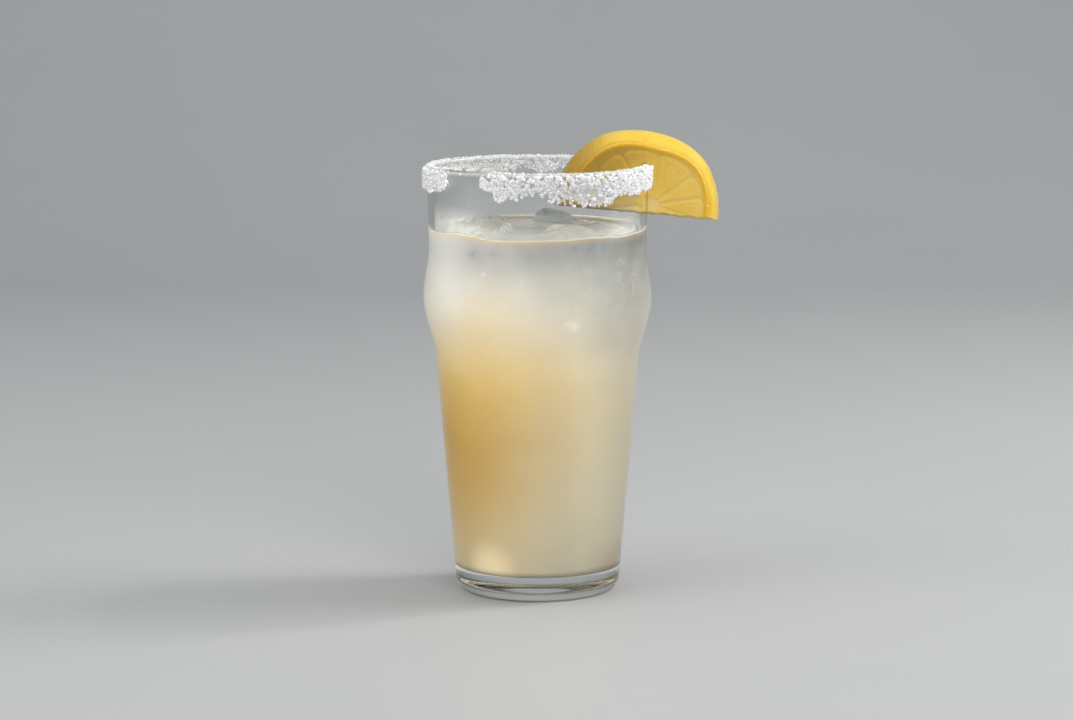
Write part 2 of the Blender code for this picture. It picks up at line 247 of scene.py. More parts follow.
def ring_faces(rows, columns, closed=True):
    """Quads between neighbouring rings of points that are stored one after another."""
    around_count = columns if closed else columns - 1
    return [
        (row * columns + k, row * columns + (k + 1) % columns,
         (row + 1) * columns + (k + 1) % columns, (row + 1) * columns + k)
        for row in range(rows - 1)
        for k in range(around_count)
    ]


def close_ends(points, faces, columns, low, high):
    """Closes a stack of rings at both ends with a fan of triangles round a point on the axis."""
    last = len(points) - columns
    for z, start, turn in ((low, 0, -1), (high, last, 1)):
        hub = len(points)
        points.append((0, 0, z))
        for k in range(columns):
            faces.append((hub, *(start + k, start + (k + 1) % columns)[::turn]))


def band_joining(rows, columns):
    """Quads that join the last ring of points back to the first."""
    last = (rows - 1) * columns
    return [(last + k, last + (k + 1) % columns, (k + 1) % columns, k) for k in range(columns)]


def turned(name, profile, sides):
    """Spins an outline whose ends lie on the axis, running up the outside, into a closed mesh."""
    turns = full_turn(sides)
    points = [spot(r, t, z) for r, z in profile[1:-1] for t in turns]
    faces = ring_faces(len(profile) - 2, sides)
    close_ends(points, faces, sides, profile[0][1], profile[-1][1])
    return mesh_of(name, points, faces)


# Shader helpers

def new_finish(name):
    made = bpy.data.materials.new(name)
    made.use_nodes = True
    made.node_tree.nodes.clear()
    return made, made.node_tree


def node(tree, kind, inputs=None, **settings):
    """Adds a node. An input is a value, or a socket to link from."""
    new = tree.nodes.new(kind)
    for key, value in settings.items():
        setattr(new, key, value)
    for socket, value in (inputs or {}).items():
        if isinstance(value, bpy.types.NodeSocket):
            tree.links.new(value, new.inputs[socket])
        else:
            new.inputs[socket].default_value = value
    return new


def place_of(tree, scale=(1, 1, 1), turn=(0, 0, 0), shift=(0, 0, 0)):
    """Object coordinates, scaled, turned and moved."""
    coordinates = node(tree, "ShaderNodeTexCoord")
    mapped = node(
        tree, "ShaderNodeMapping",
        {"Vector": coordinates.outputs["Object"], "Scale": scale, "Rotation": turn, "Location": shift},
    )
    return mapped.outputs["Vector"]


def grain(tree, where, scale, detail=2.0, roughness=0.5, distortion=0.0):
    made = node(
        tree, "ShaderNodeTexNoise",
        {"Vector": where, "Scale": scale, "Detail": detail, "Roughness": roughness, "Distortion": distortion},
    )
    return made.outputs["Fac"]


def ramp(tree, value, stops, easing="EASE"):
    """Colours along a value from 0 to 1: stops are (place, (r, g, b))."""
    made = node(tree, "ShaderNodeValToRGB", {"Fac": value})
    made.color_ramp.interpolation = easing
    while len(made.color_ramp.elements) < len(stops):
        made.color_ramp.elements.new(0.5)
    for element, (place, colour) in zip(made.color_ramp.elements, stops):
        element.position = place
        element.color = (*colour, 1)
    return made.outputs["Color"]


def spread(tree, value, low, high, to_low=0.0, to_high=1.0, kind="LINEAR"):
    """Maps low and high to to_low and to_high, and stays there beyond them."""
    made = node(
        tree, "ShaderNodeMapRange",
        {"Value": value, "From Min": low, "From Max": high, "To Min": to_low, "To Max": to_high},
        interpolation_type=kind,
    )
    return made.outputs["Result"]


def mix(tree, share, first, second, blend="MIX"):
    made = node(tree, "ShaderNodeMix", data_type="RGBA", blend_type=blend)
    for socket, value in ((0, share), (6, first), (7, second)):
        if isinstance(value, bpy.types.NodeSocket):
            tree.links.new(value, made.inputs[socket])
        else:
            made.inputs[socket].default_value = value if socket == 0 else (*value, 1)
    return made.outputs[2]


def parts_of(tree, vector):
    """The X, Y and Z of a vector."""
    return node(tree, "ShaderNodeSeparateXYZ", {"Vector": vector}).outputs.values()


def maths(tree, operation, *values):
    made = node(tree, "ShaderNodeMath", dict(enumerate(values)), operation=operation)
    return made.outputs["Value"]


def stored(tree, name, output="Fac"):
    """Reads what store() kept for each point."""
    return node(tree, "ShaderNodeAttribute", attribute_name=name).outputs[output]


def scaled(tree, vector, factor):
    """A vector times a number."""
    made = node(tree, "ShaderNodeVectorMath", {0: vector, "Scale": factor}, operation="SCALE")
    return made.outputs["Vector"]


def bump(tree, height, strength, distance, after=None):
    inputs = {"Height": height, "Strength": strength, "Distance": distance}
    if after is not None:
        inputs["Normal"] = after
    return node(tree, "ShaderNodeBump", inputs).outputs["Normal"]


def close(tree, surface):
    node(tree, "ShaderNodeOutputMaterial", {"Surface": surface})


def lets_light_through(tree, shader, tint):
    """Lamps shine through the piece without the noise of refracted light."""
    path = node(tree, "ShaderNodeLightPath")
    clear = node(tree, "ShaderNodeBsdfTransparent", {"Color": (*tint, 1)})
    made = node(tree, "ShaderNodeMixShader", {
        0: path.outputs["Is Shadow Ray"], 1: shader, 2: clear.outputs["BSDF"],
    })
    return made.outputs["Shader"]


# The glass

def clear_glass_finish():
    made, tree = new_finish("clear_glass")
    where = place_of(tree)
    waviness = bump(tree, grain(tree, where, 45, 1.0), 0.12, 0.0006)
    body = node(tree, "ShaderNodeBsdfPrincipled", {
        "Base Color": (0.985, 0.995, 0.99, 1), "Roughness": 0.0, "IOR": 1.5,
        "Transmission Weight": 1.0, "Normal": waviness,
    })
    close(tree, lets_light_through(tree, body.outputs["BSDF"], (0.95, 0.965, 0.955)))
    return made


def glass_outline():
    """The fine section of the glass: a hollowed foot, the side, a rounded lip and the inside."""
    outline = [
        (r, PUNT_DEPTH * (1 - smooth(0.35, 1, r / PUNT_RADIUS))) for r in levels(0, PUNT_RADIUS, 0.0018)
    ]
    outline += [((PUNT_RADIUS + FOOT_FLAT_RADIUS) / 2, 0.0)]
    round_width = FOOT_RADIUS - FOOT_FLAT_RADIUS
    outline += arc(FOOT_FLAT_RADIUS, FOOT_ROUND_HEIGHT, round_width, FOOT_ROUND_HEIGHT, -90, 0, 12)
    outline += [(outer_radius(z), z) for z in levels(FOOT_ROUND_HEIGHT, LIP_Z, 0.0022)[1:]]
    outline += arc(LIP_CENTRE, LIP_Z, LIP, LIP, 0, 180, 10)[1:-1]
    return outline + cavity_outline(0, LIP_Z, 0.0022)[::-1]


def make_glass():
    glass = piece("glass_clear", turned("glass_clear", glass_outline(), 192), clear_glass_finish())
    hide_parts("glass")
    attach(glass, "root")


# The drink

SURFACE_HUMPS = (
    # x, y, height, reach
    (-0.0235, -0.0150, 0.0024, 0.0085),
    (-0.0310, -0.0060, 0.0012, 0.0060),
    (0.0130, -0.0205, 0.0034, 0.0090),
    (0.0265, -0.0020, 0.0020, 0.0100),
    (0.0310, -0.0130, 0.0012, 0.0070),
    (0.0050, 0.0180, 0.0006, 0.0110),
)
CONTACT = (
    # angle round the glass, height above or below the usual line where the drink meets the wall
    (0, 0.0), (90, 0.0), (180, -0.0003), (207, -0.0009), (221, -0.0003), (234, -0.0008),
    (246, -0.0016), (265, -0.0016), (286, -0.0015), (300, -0.0009), (310, -0.0010), (319, -0.0013),
    (334, -0.0008), (360, 0.0),
)
SUNK_ICE = (
    # angle, height, half width in degrees, half height, strength: dark places where a sunk block shows
    (234, 0.1275, 3.2, 0.0022, 1.0), (246, 0.1280, 2.5, 0.0012, 0.7), (289, 0.1296, 4.0, 0.0012, 0.9),
    (299, 0.1295, 4.5, 0.0015, 1.0), (309, 0.1298, 4.5, 0.0015, 1.0), (303, 0.1175, 5.0, 0.0024, 0.5),
    (316, 0.1210, 4.0, 0.0020, 0.5), (268, 0.1275, 5.0, 0.0014, 0.6),
)
PALE_AND_SPARKLE_PLACES = (
    # the same for pale places, where a block or froth lies right against the glass, and for a painted
    # highlight: the small strong places at 285 and 289 degrees are a sparkle of light
    (236, 0.1170, 6.0, 0.0045, 0.18), (240, 0.1205, 1.6, 0.0010, 0.60), (289, 0.1025, 3.0, 0.0016, 1.00),
    (285, 0.1035, 1.2, 0.0008, 0.80), (262, 0.1160, 7.0, 0.0050, 0.15),
)
# painted light: the middle of a glow painted into the drink near the floor
PAINTED_GLOW = (-0.0170, -0.0235, 0.0112)
SAG_AT_WALL = 0.0007
CONTACT_REACH = 0.007
CURL_REACH = 0.0011
EVEN_BELOW = 0.118
WALL_SKIN = 0.0009
DRINK_SIDES = 256


def contact_height(angle):
    """How far the drink's edge on the wall strays from its mean height."""
    angle %= 360
    for (a0, h0), (a1, h1) in zip(CONTACT, CONTACT[1:]):
        if angle <= a1:
            return h0 + (h1 - h0) * smooth(a0, a1, angle)
    return CONTACT[-1][1]


def nearness(places, angle, z):
    """How near a point of the drink's side is to the middle of any of the places, from 0 to 1."""
    return max(
        strength * bell((angle - a) / wide, (z - height) / tall)
        for a, height, wide, tall, strength in places
    )


def surface_height(x, y, inset, contact):
    """The top of the drink: slow waves, humps where it clings to the ice, and the curl up the wall."""
    height = DRINK_LEVEL + 0.0003 * waver(x * 90, y * 90, 0.4)
    height += 0.00012 * waver(x * 420, y * 420, 2.4)
    near_wall = bell(inset / CONTACT_REACH)
    for hx, hy, rise, reach in SURFACE_HUMPS:
        height += (1 - near_wall) * rise * math.exp(-((x - hx) ** 2 + (y - hy) ** 2) / (reach * reach))
    height += near_wall * (contact - SAG_AT_WALL)
    return height + (MENISCUS_RISE + SAG_AT_WALL) * math.exp(-inset / CURL_REACH)


def drink_mesh(reach):
    """The drink up to the wall of the glass, with what its finish reads at each point of its side."""
    turns = full_turn(DRINK_SIDES)
    contacts = [contact_height(math.degrees(t)) for t in turns]
    wall = cavity_outline(-INTO_WALL, EVEN_BELOW, 0.0012)
    wall += [(None, z) for z in levels(EVEN_BELOW, DRINK_LEVEL, 0.0007)[1:]]
    points, depths, dark, pale = [], [], [], []
    for r, z in wall[1:]:
        for t, contact in zip(turns, contacts):
            x, y, _ = spot(reach, t, 0)
            edge = surface_height(x, y, 0, contact)
            height = z + (edge - DRINK_LEVEL) * smooth(EVEN_BELOW, DRINK_LEVEL, z)
            radius = r or inner_radius(height) + INTO_WALL
            points.append(spot(radius, t, height))
            depths.append(edge - height)
            dark.append(nearness(SUNK_ICE, math.degrees(t), height))
            pale.append(nearness(PALE_AND_SPARKLE_PLACES, math.degrees(t), height))
    inward = [0.00015, 0.0004, 0.0007, 0.0011, 0.0016, 0.0022, 0.0029, 0.0037]
    inward += levels(0.0045, reach - 0.0006, 0.0006)
    for inset in inward:
        for t, contact in zip(turns, contacts):
            x, y, _ = spot(reach - inset, t, 0)
            points.append((x, y, surface_height(x, y, inset, contact)))
            depths.append(0.0)
    faces = ring_faces(len(points) // DRINK_SIDES, DRINK_SIDES)
    close_ends(points, faces, DRINK_SIDES, wall[0][1], surface_height(0, 0, reach, 0))
    depths += [0.05, 0.0]
    mesh = mesh_of("lemonade_cloudy", points, faces)
    for name, values in (("below_edge", depths), ("sunk_ice", dark), ("pale_and_sparkle", pale)):
        store(mesh, name, values + [0.0] * (len(points) - len(values)))
    return mesh, (len(wall) - 2) * DRINK_SIDES


def make_drink():
    reach = inner_radius(DRINK_LEVEL)
    mesh, last_on_wall = drink_mesh(reach)
    on_top = [
        min(poly.vertices) >= last_on_wall and poly.center.z > EVEN_BELOW
        and poly.center.xy.length < reach - WALL_SKIN
        for poly in mesh.polygons
    ]
    drink = piece("lemonade_cloudy", mesh, drink_finish(), drink_surface_finish())
    mesh.polygons.foreach_set("material_index", [int(flag) for flag in on_top])
    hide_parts("lemonade")
    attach(drink, "root")


def drink_gradient(tree, across, share):
    """Up the drink, on the left and on the right, before its marks. The change up the drink is the body's own
    colour; the split between the golden left and the paler right is painted light and shade: painted shade
    where light has crossed the most drink, painted light on the right where it falls.
    """
    left = ramp(tree, share, (
        (0.07, (0.60, 0.50, 0.31)), (0.24, (0.53, 0.350, 0.085)), (0.43, (0.495, 0.295, 0.032)),
        (0.58, (0.67, 0.485, 0.145)), (0.72, (0.84, 0.735, 0.53)), (0.85, (0.56, 0.545, 0.51)),
        (0.96, (0.37, 0.37, 0.37)),
    ), "B_SPLINE")
    right = ramp(tree, share, (
        (0.07, (0.50, 0.455, 0.35)), (0.24, (0.61, 0.565, 0.43)), (0.43, (0.67, 0.60, 0.43)),
        (0.60, (0.73, 0.645, 0.47)), (0.70, (0.84, 0.79, 0.70)), (0.80, (0.58, 0.56, 0.50)),
        (0.90, (0.35, 0.35, 0.33)), (0.97, (0.245, 0.25, 0.24)),
    ), "B_SPLINE")
    return mix(tree, across, left, right)


def drink_colour(tree):
    """Greyish white under the ice, golden straw lower on the left, pale cream on the right: the split between
    left and right is painted light and shade.
    """
    where = place_of(tree)
    x, _, z = parts_of(tree, where)
    drift = maths(tree, "MULTIPLY_ADD", grain(tree, where, 30, 3.0, 0.55, 0.3), 0.016, -0.008)
    share = spread(tree, maths(tree, "ADD", z, drift), 0.0, 0.14)
    lean = maths(tree, "MULTIPLY_ADD", z, -0.22, 0.018)
    across = maths(tree, "ADD", maths(tree, "ADD", x, drift), lean)
    # painted light and shade: the left ramp stands for the shaded golden side, the right ramp for the lit
    # pale side
    colour = drink_gradient(tree, spread(tree, across, -0.030, 0.034, kind="SMOOTHSTEP"), share)

    # painted shade darker towards the right, pale at the upper left, and painted shade brown at the lower
    # right
    shade = spread(tree, x, 0.012, 0.034, 1.0, 0.62, "SMOOTHSTEP")
    colour = mix(tree, 1.0, colour, shade, "MULTIPLY")
    far_left = spread(tree, x, -0.020, -0.034, 0.0, 0.6, "SMOOTHSTEP")
    pale_side = maths(tree, "MULTIPLY", far_left, spread(tree, z, 0.094, 0.110))
    colour = mix(tree, pale_side, colour, (0.80, 0.79, 0.76))
    # painted shade: brown low on the right of the drink, by the foot
    far_right = spread(tree, x, 0.014, 0.030, 0.0, 0.7, "SMOOTHSTEP")
    painted_low_right_shade = maths(tree, "MULTIPLY", far_right, spread(tree, z, 0.022, 0.011))
    colour = mix(tree, painted_low_right_shade, colour, (0.26, 0.20, 0.12))

    # painted light glowing near the floor, the clouding under the ice, and the marks of ice against the
    # glass, with a painted highlight among them
    from_painted_glow = node(tree, "ShaderNodeVectorMath", {0: where, 1: PAINTED_GLOW}, operation="DISTANCE").outputs["Value"]
    painted_glow = spread(tree, from_painted_glow, 0.002, 0.0135, 0.85, 0.0, "SMOOTHSTEP")
    colour = mix(tree, painted_glow, colour, (0.86, 0.72, 0.47))
    billow = grain(tree, place_of(tree, scale=(1, 1, 0.8), shift=(0.1, 0.4, 0.0)), 60, 4.0, 0.6, 0.4)
    puff = maths(tree, "MULTIPLY", spread(tree, billow, 0.42, 0.72), spread(tree, z, 0.086, 0.120))
    colour = mix(tree, maths(tree, "MULTIPLY", puff, 0.22), colour, (0.66, 0.65, 0.61))
    # the pale places, speckled: froth's own white, and a painted highlight where they sparkle
    speckle = spread(tree, grain(tree, where, 700, 3.0, 0.6), 0.35, 0.65, 0.3, 1.0)
    white = maths(tree, "MULTIPLY", stored(tree, "pale_and_sparkle"), maths(tree, "MULTIPLY", speckle, 0.9))
    colour = mix(tree, white, colour, (0.97, 0.96, 0.93))
    smudge = spread(tree, grain(tree, place_of(tree, shift=(0.3, 0.1, 0.2)), 260, 5.0, 0.7), 0.36, 0.66)
    cold = maths(tree, "MULTIPLY", maths(tree, "MULTIPLY", smudge, stored(tree, "sunk_ice")), 0.9)
    return mix(tree, cold, colour, (0.23, 0.285, 0.335))


def drink_finish():
    """The body of the drink against the glass: cloudy, with light soaking through it."""
    made, tree = new_finish("cloudy_lemonade")
    edge = stored(tree, "below_edge")
    x, y, _ = parts_of(tree, place_of(tree))

    # a tan band under the edge, strongest at the front: the meniscus seen through the glass, made darker as
    # painted shade against the light its thin edge lets through
    band = spread(tree, edge, 0.0010, 0.0029, 1.0, 0.0, "SMOOTHSTEP")
    from_middle = maths(tree, "ABSOLUTE", maths(tree, "ADD", x, 0.004))
    strength = spread(tree, from_middle, 0.014, 0.030, 0.62, 0.28, "SMOOTHSTEP")
    strength = maths(tree, "MULTIPLY", strength, spread(tree, y, -0.012, 0.008, 1.0, 0.3))
    colour = mix(tree, maths(tree, "MULTIPLY", band, strength), drink_colour(tree), (0.49, 0.40, 0.29))

    # painted shade on the thin tip, which light from above would brighten: tan on the left and greyer on the
    # right
    tip = spread(tree, edge, 0.0003, 0.0011, 0.80, 0.0, "SMOOTHSTEP")
    greyer = spread(tree, x, 0.002, 0.022, 0.0, 1.0, "SMOOTHSTEP")
    colour = mix(tree, tip, colour, mix(tree, greyer, (0.31, 0.255, 0.20), (0.30, 0.29, 0.265)))
    body = node(tree, "ShaderNodeBsdfPrincipled", {
        "Base Color": colour, "Roughness": 0.35, "IOR": 1.33, "Specular IOR Level": 0.0,
        "Subsurface Weight": 0.8, "Subsurface Radius": (1.0, 0.78, 0.50), "Subsurface Scale": 0.0045,
    })
    close(tree, body.outputs["BSDF"])
    return made


def drink_surface_finish():
    """The wet, slightly frothy top of the drink."""
    made, tree = new_finish("lemonade_surface")
    where = place_of(tree)
    froth = node(tree, "ShaderNodeTexVoronoi", {"Vector": where, "Scale": 1500}, feature="SMOOTH_F1")
    slush = grain(tree, where, 190, 4.0, 0.6)
    colour = mix(tree, spread(tree, slush, 0.38, 0.68), (0.33, 0.31, 0.265), (0.42, 0.40, 0.345))
    # painted shade: darker where the top curls up the wall, against the light that the thin curl catches
    from_axis = node(tree, "ShaderNodeVectorMath", {0: place_of(tree, scale=(1, 1, 0))}, operation="LENGTH")
    curl = spread(tree, from_axis.outputs["Value"], 0.0345, 0.0371, 0.0, 0.85, "SMOOTHSTEP")
    colour = mix(tree, curl, colour, (0.21, 0.18, 0.13))
    ripples = bump(tree, grain(tree, where, 120, 2.0, 0.5), 0.22, 0.0006)
    patches = spread(tree, grain(tree, where, 110, 2.0), 0.45, 0.6)
    bubbly = maths(tree, "MULTIPLY", froth.outputs["Distance"], patches)
    normal = bump(tree, bubbly, 0.8, 0.0004, ripples)
    body = node(tree, "ShaderNodeBsdfPrincipled", {
        "Base Color": colour, "Roughness": 0.12, "IOR": 1.34, "Normal": normal, "Specular IOR Level": 0.22,
        "Subsurface Weight": 0.4, "Subsurface Radius": (1.0, 0.75, 0.45), "Subsurface Scale": 0.003,
    })
    close(tree, body.outputs["BSDF"])
    return made


# The ice

ICE_FACETS = {
    # node: flat places melted into the block, each a direction and its height above the block's middle
    "ice_cube_left": (
        ((-0.04, -0.40, 0.92), 0.0078), ((0.66, -0.60, 0.46), 0.0100), ((-0.75, -0.30, 0.50), 0.0092),
    ),
    "ice_cube_back": (
        ((0.10, -0.42, 0.90), 0.0079), ((0.05, -0.96, 0.20), 0.0070), ((0.62, -0.10, 0.75), 0.0090),
    ),
    "ice_cube_front": (((0.10, -0.30, 0.95), 0.0082), ((-0.70, -0.45, 0.55), 0.0090)),
    "ice_cube_right": (((0.20, -0.35, 0.92), 0.0078),),
}
FACET_EDGE = 0.0006


def ice_finish(name, cloudiness, tint, coat):
    """Half-melted ice: clear, wet and finely cracked, with milky patches."""
    made, tree = new_finish(name)
    where = place_of(tree)
    melt = bump(tree, grain(tree, where, 180, 2.0, 0.45), 0.35, 0.0008)
    cracks = node(tree, "ShaderNodeTexVoronoi", {"Vector": where, "Scale": 210}, feature="DISTANCE_TO_EDGE")
    normal = bump(tree, cracks.outputs["Distance"], 0.12, 0.0004, melt)
    beads = node(tree, "ShaderNodeTexVoronoi", {"Vector": where, "Scale": 1900}, feature="SMOOTH_F1")
    normal = bump(tree, beads.outputs["Distance"], 0.10, 0.00025, normal)
    clear = node(tree, "ShaderNodeBsdfPrincipled", {
        "Base Color": (*tint, 1), "Roughness": 0.03, "IOR": 1.31,
        "Transmission Weight": 1.0, "Normal": normal,
    })
    milky = node(tree, "ShaderNodeBsdfPrincipled", {
        "Base Color": (*coat, 1), "Roughness": 0.10, "IOR": 1.31, "Normal": normal,
        "Subsurface Weight": 0.6, "Subsurface Radius": (1.0, 0.85, 0.7), "Subsurface Scale": 0.003,
    })
    patches = spread(tree, grain(tree, where, 150, 4.0, 0.65), cloudiness[0], cloudiness[1])
    both = node(tree, "ShaderNodeMixShader", {0: patches, 1: clear.outputs["BSDF"], 2: milky.outputs["BSDF"]})
    close(tree, lets_light_through(tree, both.outputs["Shader"], (0.80, 0.83, 0.84)))
    return made


def flattened(point, facets):
    """Brings a point back to the facets that it would stand out from, with a softened edge."""
    for direction, height in facets:
        out = Vector(direction).normalized()
        above = point.dot(out) - height
        if above > -FACET_EDGE:
            point = point - out * max(0.0, above + FACET_EDGE) ** 2 / (max(above, 0.0) + FACET_EDGE)
            point = point + out * min(FACET_EDGE, max(0.0, above + FACET_EDGE)) * 0.25
    return point


def ice_mesh(name, centre, size, tilt, seed):
    """A block with melted edges and dimpled faces."""
    bm = bmesh.new()
    bmesh.ops.create_cube(bm, size=2)
    bmesh.ops.subdivide_edges(bm, edges=bm.edges, cuts=ICE_CUTS, use_grid_fill=True)
    half = Vector(size) / 2
    turn = Matrix.Rotation(math.radians(tilt[2]), 3, "Z")
    turn = turn @ Matrix.Rotation(math.radians(tilt[1]), 3, "Y")
    turn = turn @ Matrix.Rotation(math.radians(tilt[0]), 3, "X")
    for vert in bm.verts:
        corner = sum(abs(c) ** ICE_SQUARENESS for c in vert.co) ** (1 / ICE_SQUARENESS)
        side = vert.co / corner
        slow = noise.noise(side * 1.3 + Vector((seed * 3.1, 0, 0)))
        fine = noise.noise(side * 4.0 + Vector((0, seed * 2.3, 0)))
        placed = turn @ (side * half * (1 + 0.035 * slow + 0.012 * fine))
        vert.co = flattened(placed, ICE_FACETS[name]) + Vector(centre)
    bmesh.ops.recalc_face_normals(bm, faces=bm.faces)
    mesh = bpy.data.meshes.new(name)
    bm.to_mesh(mesh)
    bm.free()
    return mesh


def make_ice():
    wet = ice_finish("ice_wet", (0.34, 0.80), (0.74, 0.75, 0.74), (0.38, 0.365, 0.33))
    clear = ice_finish("ice_clear", (0.62, 0.95), (0.55, 0.60, 0.65), (0.58, 0.59, 0.60))
    coated = ice_finish("ice_coated", (0.12, 0.34), (0.86, 0.87, 0.86), (0.46, 0.43, 0.365))
    finishes = {"ice_cube_left": wet, "ice_cube_back": clear}
    for seed, (name, centre, size, tilt) in enumerate(ICE):
        mesh = ice_mesh(name, centre, size, tilt, seed)
        cube = piece(name + "_melting", mesh, finishes.get(name, coated))
        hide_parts(name)
        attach(cube, "root")


# Scattered grains and beads

def geometry_tree(name, inputs):
    """A Geometry Nodes tree with a geometry input and named inputs: (name, kind, value)."""
    tree = bpy.data.node_groups.new(name, "GeometryNodeTree")
    tree.interface.new_socket("Geometry", in_out="INPUT", socket_type="NodeSocketGeometry")
    for label, kind, value in inputs:
        socket = tree.interface.new_socket(label, in_out="INPUT", socket_type=kind)
        if value is not None:
            socket.default_value = value
    tree.interface.new_socket("Geometry", in_out="OUTPUT", socket_type="NodeSocketGeometry")
    return tree, node(tree, "NodeGroupInput").outputs


def chipped_block(tree, number):
    """A small block whose corners are pushed about, for a broken crystal."""
    cube = node(tree, "GeometryNodeMeshCube")
    cut = node(tree, "GeometryNodeSubdivideMesh", {"Mesh": cube.outputs["Mesh"], "Level": 1})
    position = node(tree, "GeometryNodeInputPosition").outputs["Position"]
    wobble = node(tree, "ShaderNodeTexNoise", {"Vector": position, "Scale": 0.9 + 0.4 * number})
    centred = node(tree, "ShaderNodeVectorMath", {
        0: wobble.outputs["Color"], 1: (0.5, 0.5, 0.5),
    }, operation="SUBTRACT")
    pushed = scaled(tree, centred.outputs["Vector"], 0.9)
    round_place = node(tree, "ShaderNodeVectorMath", {0: position}, operation="NORMALIZE")
    round_place = scaled(tree, round_place.outputs["Vector"], 0.62)
    both = node(tree, "ShaderNodeMix", {0: 0.55, 4: position, 5: round_place}, data_type="VECTOR")
    moved = node(tree, "GeometryNodeSetPosition", {
        "Geometry": cut.outputs["Mesh"], "Position": both.outputs[1], "Offset": pushed,
    })
    return moved.outputs["Geometry"]


def round_bead(tree):
    ball = node(tree, "GeometryNodeMeshUVSphere", {"Radius": 0.5, "Segments": 8, "Rings": 4})
    return ball.outputs["Mesh"]


def scatter_tree(name, shapes, upright, unevenness):
    """Scatters small shapes over a carrier, thicker where its cover attribute is high."""
    tree, given = geometry_tree(name, (
        ("Spacing", "NodeSocketFloat", 0.001),
        ("Density", "NodeSocketFloat", 1e6),
        ("Smallest", "NodeSocketFloat", 0.0005),
        ("Largest", "NodeSocketFloat", 0.0010),
        ("Seed", "NodeSocketInt", 1),
        ("Finish", "NodeSocketMaterial", None),
    ))
    cover = node(tree, "GeometryNodeInputNamedAttribute", {"Name": "cover"}, data_type="FLOAT")
    spots = node(tree, "GeometryNodeDistributePointsOnFaces", {
        "Mesh": given["Geometry"], "Distance Min": given["Spacing"], "Density Max": given["Density"],
        "Density Factor": cover.outputs["Attribute"], "Seed": given["Seed"],
    }, distribute_method="POISSON")
    kinds = node(tree, "GeometryNodeGeometryToInstance")
    for make in shapes:
        tree.links.new(make(tree), kinds.inputs["Geometry"])
    spin = (0.0, 0.0, math.tau) if upright else (math.tau, math.tau, math.tau)
    turn = node(tree, "FunctionNodeRandomValue", {
        "Min": (0.0, 0.0, 0.0), "Max": spin, "Seed": given["Seed"],
    }, data_type="FLOAT_VECTOR")
    size = node(tree, "FunctionNodeRandomValue", {
        "Min": given["Smallest"], "Max": given["Largest"], "Seed": given["Seed"],
    }, data_type="FLOAT")
    least, most = (tuple(1 + sign * part for part in unevenness) for sign in (-1, 1))
    stretch = node(tree, "FunctionNodeRandomValue", {
        "Min": least, "Max": most, "Seed": given["Seed"],
    }, data_type="FLOAT_VECTOR")
    pick = node(tree, "FunctionNodeRandomValue", {
        "Min": 0, "Max": len(shapes) - 1, "Seed": given["Seed"],
    }, data_type="INT")
    placed = node(tree, "GeometryNodeInstanceOnPoints", {
        "Points": spots.outputs["Points"], "Instance": kinds.outputs["Instances"],
        "Pick Instance": True, "Instance Index": pick.outputs[2],
        "Rotation": spots.outputs["Rotation"] if upright else turn.outputs[0],
        "Scale": scaled(tree, stretch.outputs[0], size.outputs[1]),
    })
    real = node(tree, "GeometryNodeRealizeInstances", {"Geometry": placed.outputs["Instances"]})
    finished = node(tree, "GeometryNodeSetMaterial", {
        "Geometry": real.outputs["Geometry"], "Material": given["Finish"],
    })
    node(tree, "NodeGroupOutput", {"Geometry": finished.outputs["Geometry"]})
    return tree


def crystal_tree():
    shapes = [lambda tree, number=number: chipped_block(tree, number) for number in range(4)]
    return scatter_tree("salt_crystals", shapes, False, (0.3, 0.3, 0.3))


def bead_tree():
    return scatter_tree("beads", [round_bead], True, (0.15, 0.15, 0.3))


def grown(name, carrier, tree, values):
    """Runs a scattering tree on a carrier mesh and returns the result as a plain mesh."""
    holder = added(name + "_carrier", carrier)
    modifier = holder.modifiers.new(name, "NODES")
    modifier.node_group = tree
    for item in tree.interface.items_tree:
        if item.in_out == "INPUT" and item.name in values:
            modifier[item.identifier] = values[item.name]
    graph = bpy.context.evaluated_depsgraph_get()
    made = bpy.data.meshes.new_from_object(holder.evaluated_get(graph))
    made.name = name
    bpy.data.objects.remove(holder, do_unlink=True)
    return made


def scattered(name, carrier, tree, finish, slot, facets, **values):
    """A loose piece of scattered grains or beads, riding on the glass."""
    values = {key.capitalize(): value for key, value in values.items()}
    mesh = grown(name, carrier, tree, {"Density": 1e7, "Finish": finish, **values})
    if facets:
        mesh.shade_flat()
    else:
        mesh.shade_smooth()
    loose = added(name, mesh)
    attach(loose, "root")
    return loose


def with_cover(mesh, cover):
    """A carrier with how thickly each of its points is strewn, from 0 to 1."""
    store(mesh, "cover", cover)
    return mesh


# The salt

CRUST_STEP = 0.00030
CRUST_REACH = 0.0150
CRUST_RISE = 0.0002
CRUST_END = 4
LUMP_SIZE = 0.0013
WET_LOBE = (279, 306)
WET_CLEARNESS = 0.60
RAGGED = 0.0013
LUMPY_EDGE = 0.0022


def stretch_depth(stretch, angle):
    """How far down the crust reaches at an angle."""
    for (a0, d0), (a1, d1) in zip(stretch, stretch[1:]):
        if angle <= a1:
            return d0 + (d1 - d0) * smooth(a0, a1, angle)
    return stretch[-1][1]


def lump(point, size):
    """1 at the middle of a rounded lump, 0 between lumps."""
    distances, _ = noise.voronoi(point / size)
    return math.sqrt(max(0.0, 1 - (distances[0] / 0.75) ** 2))


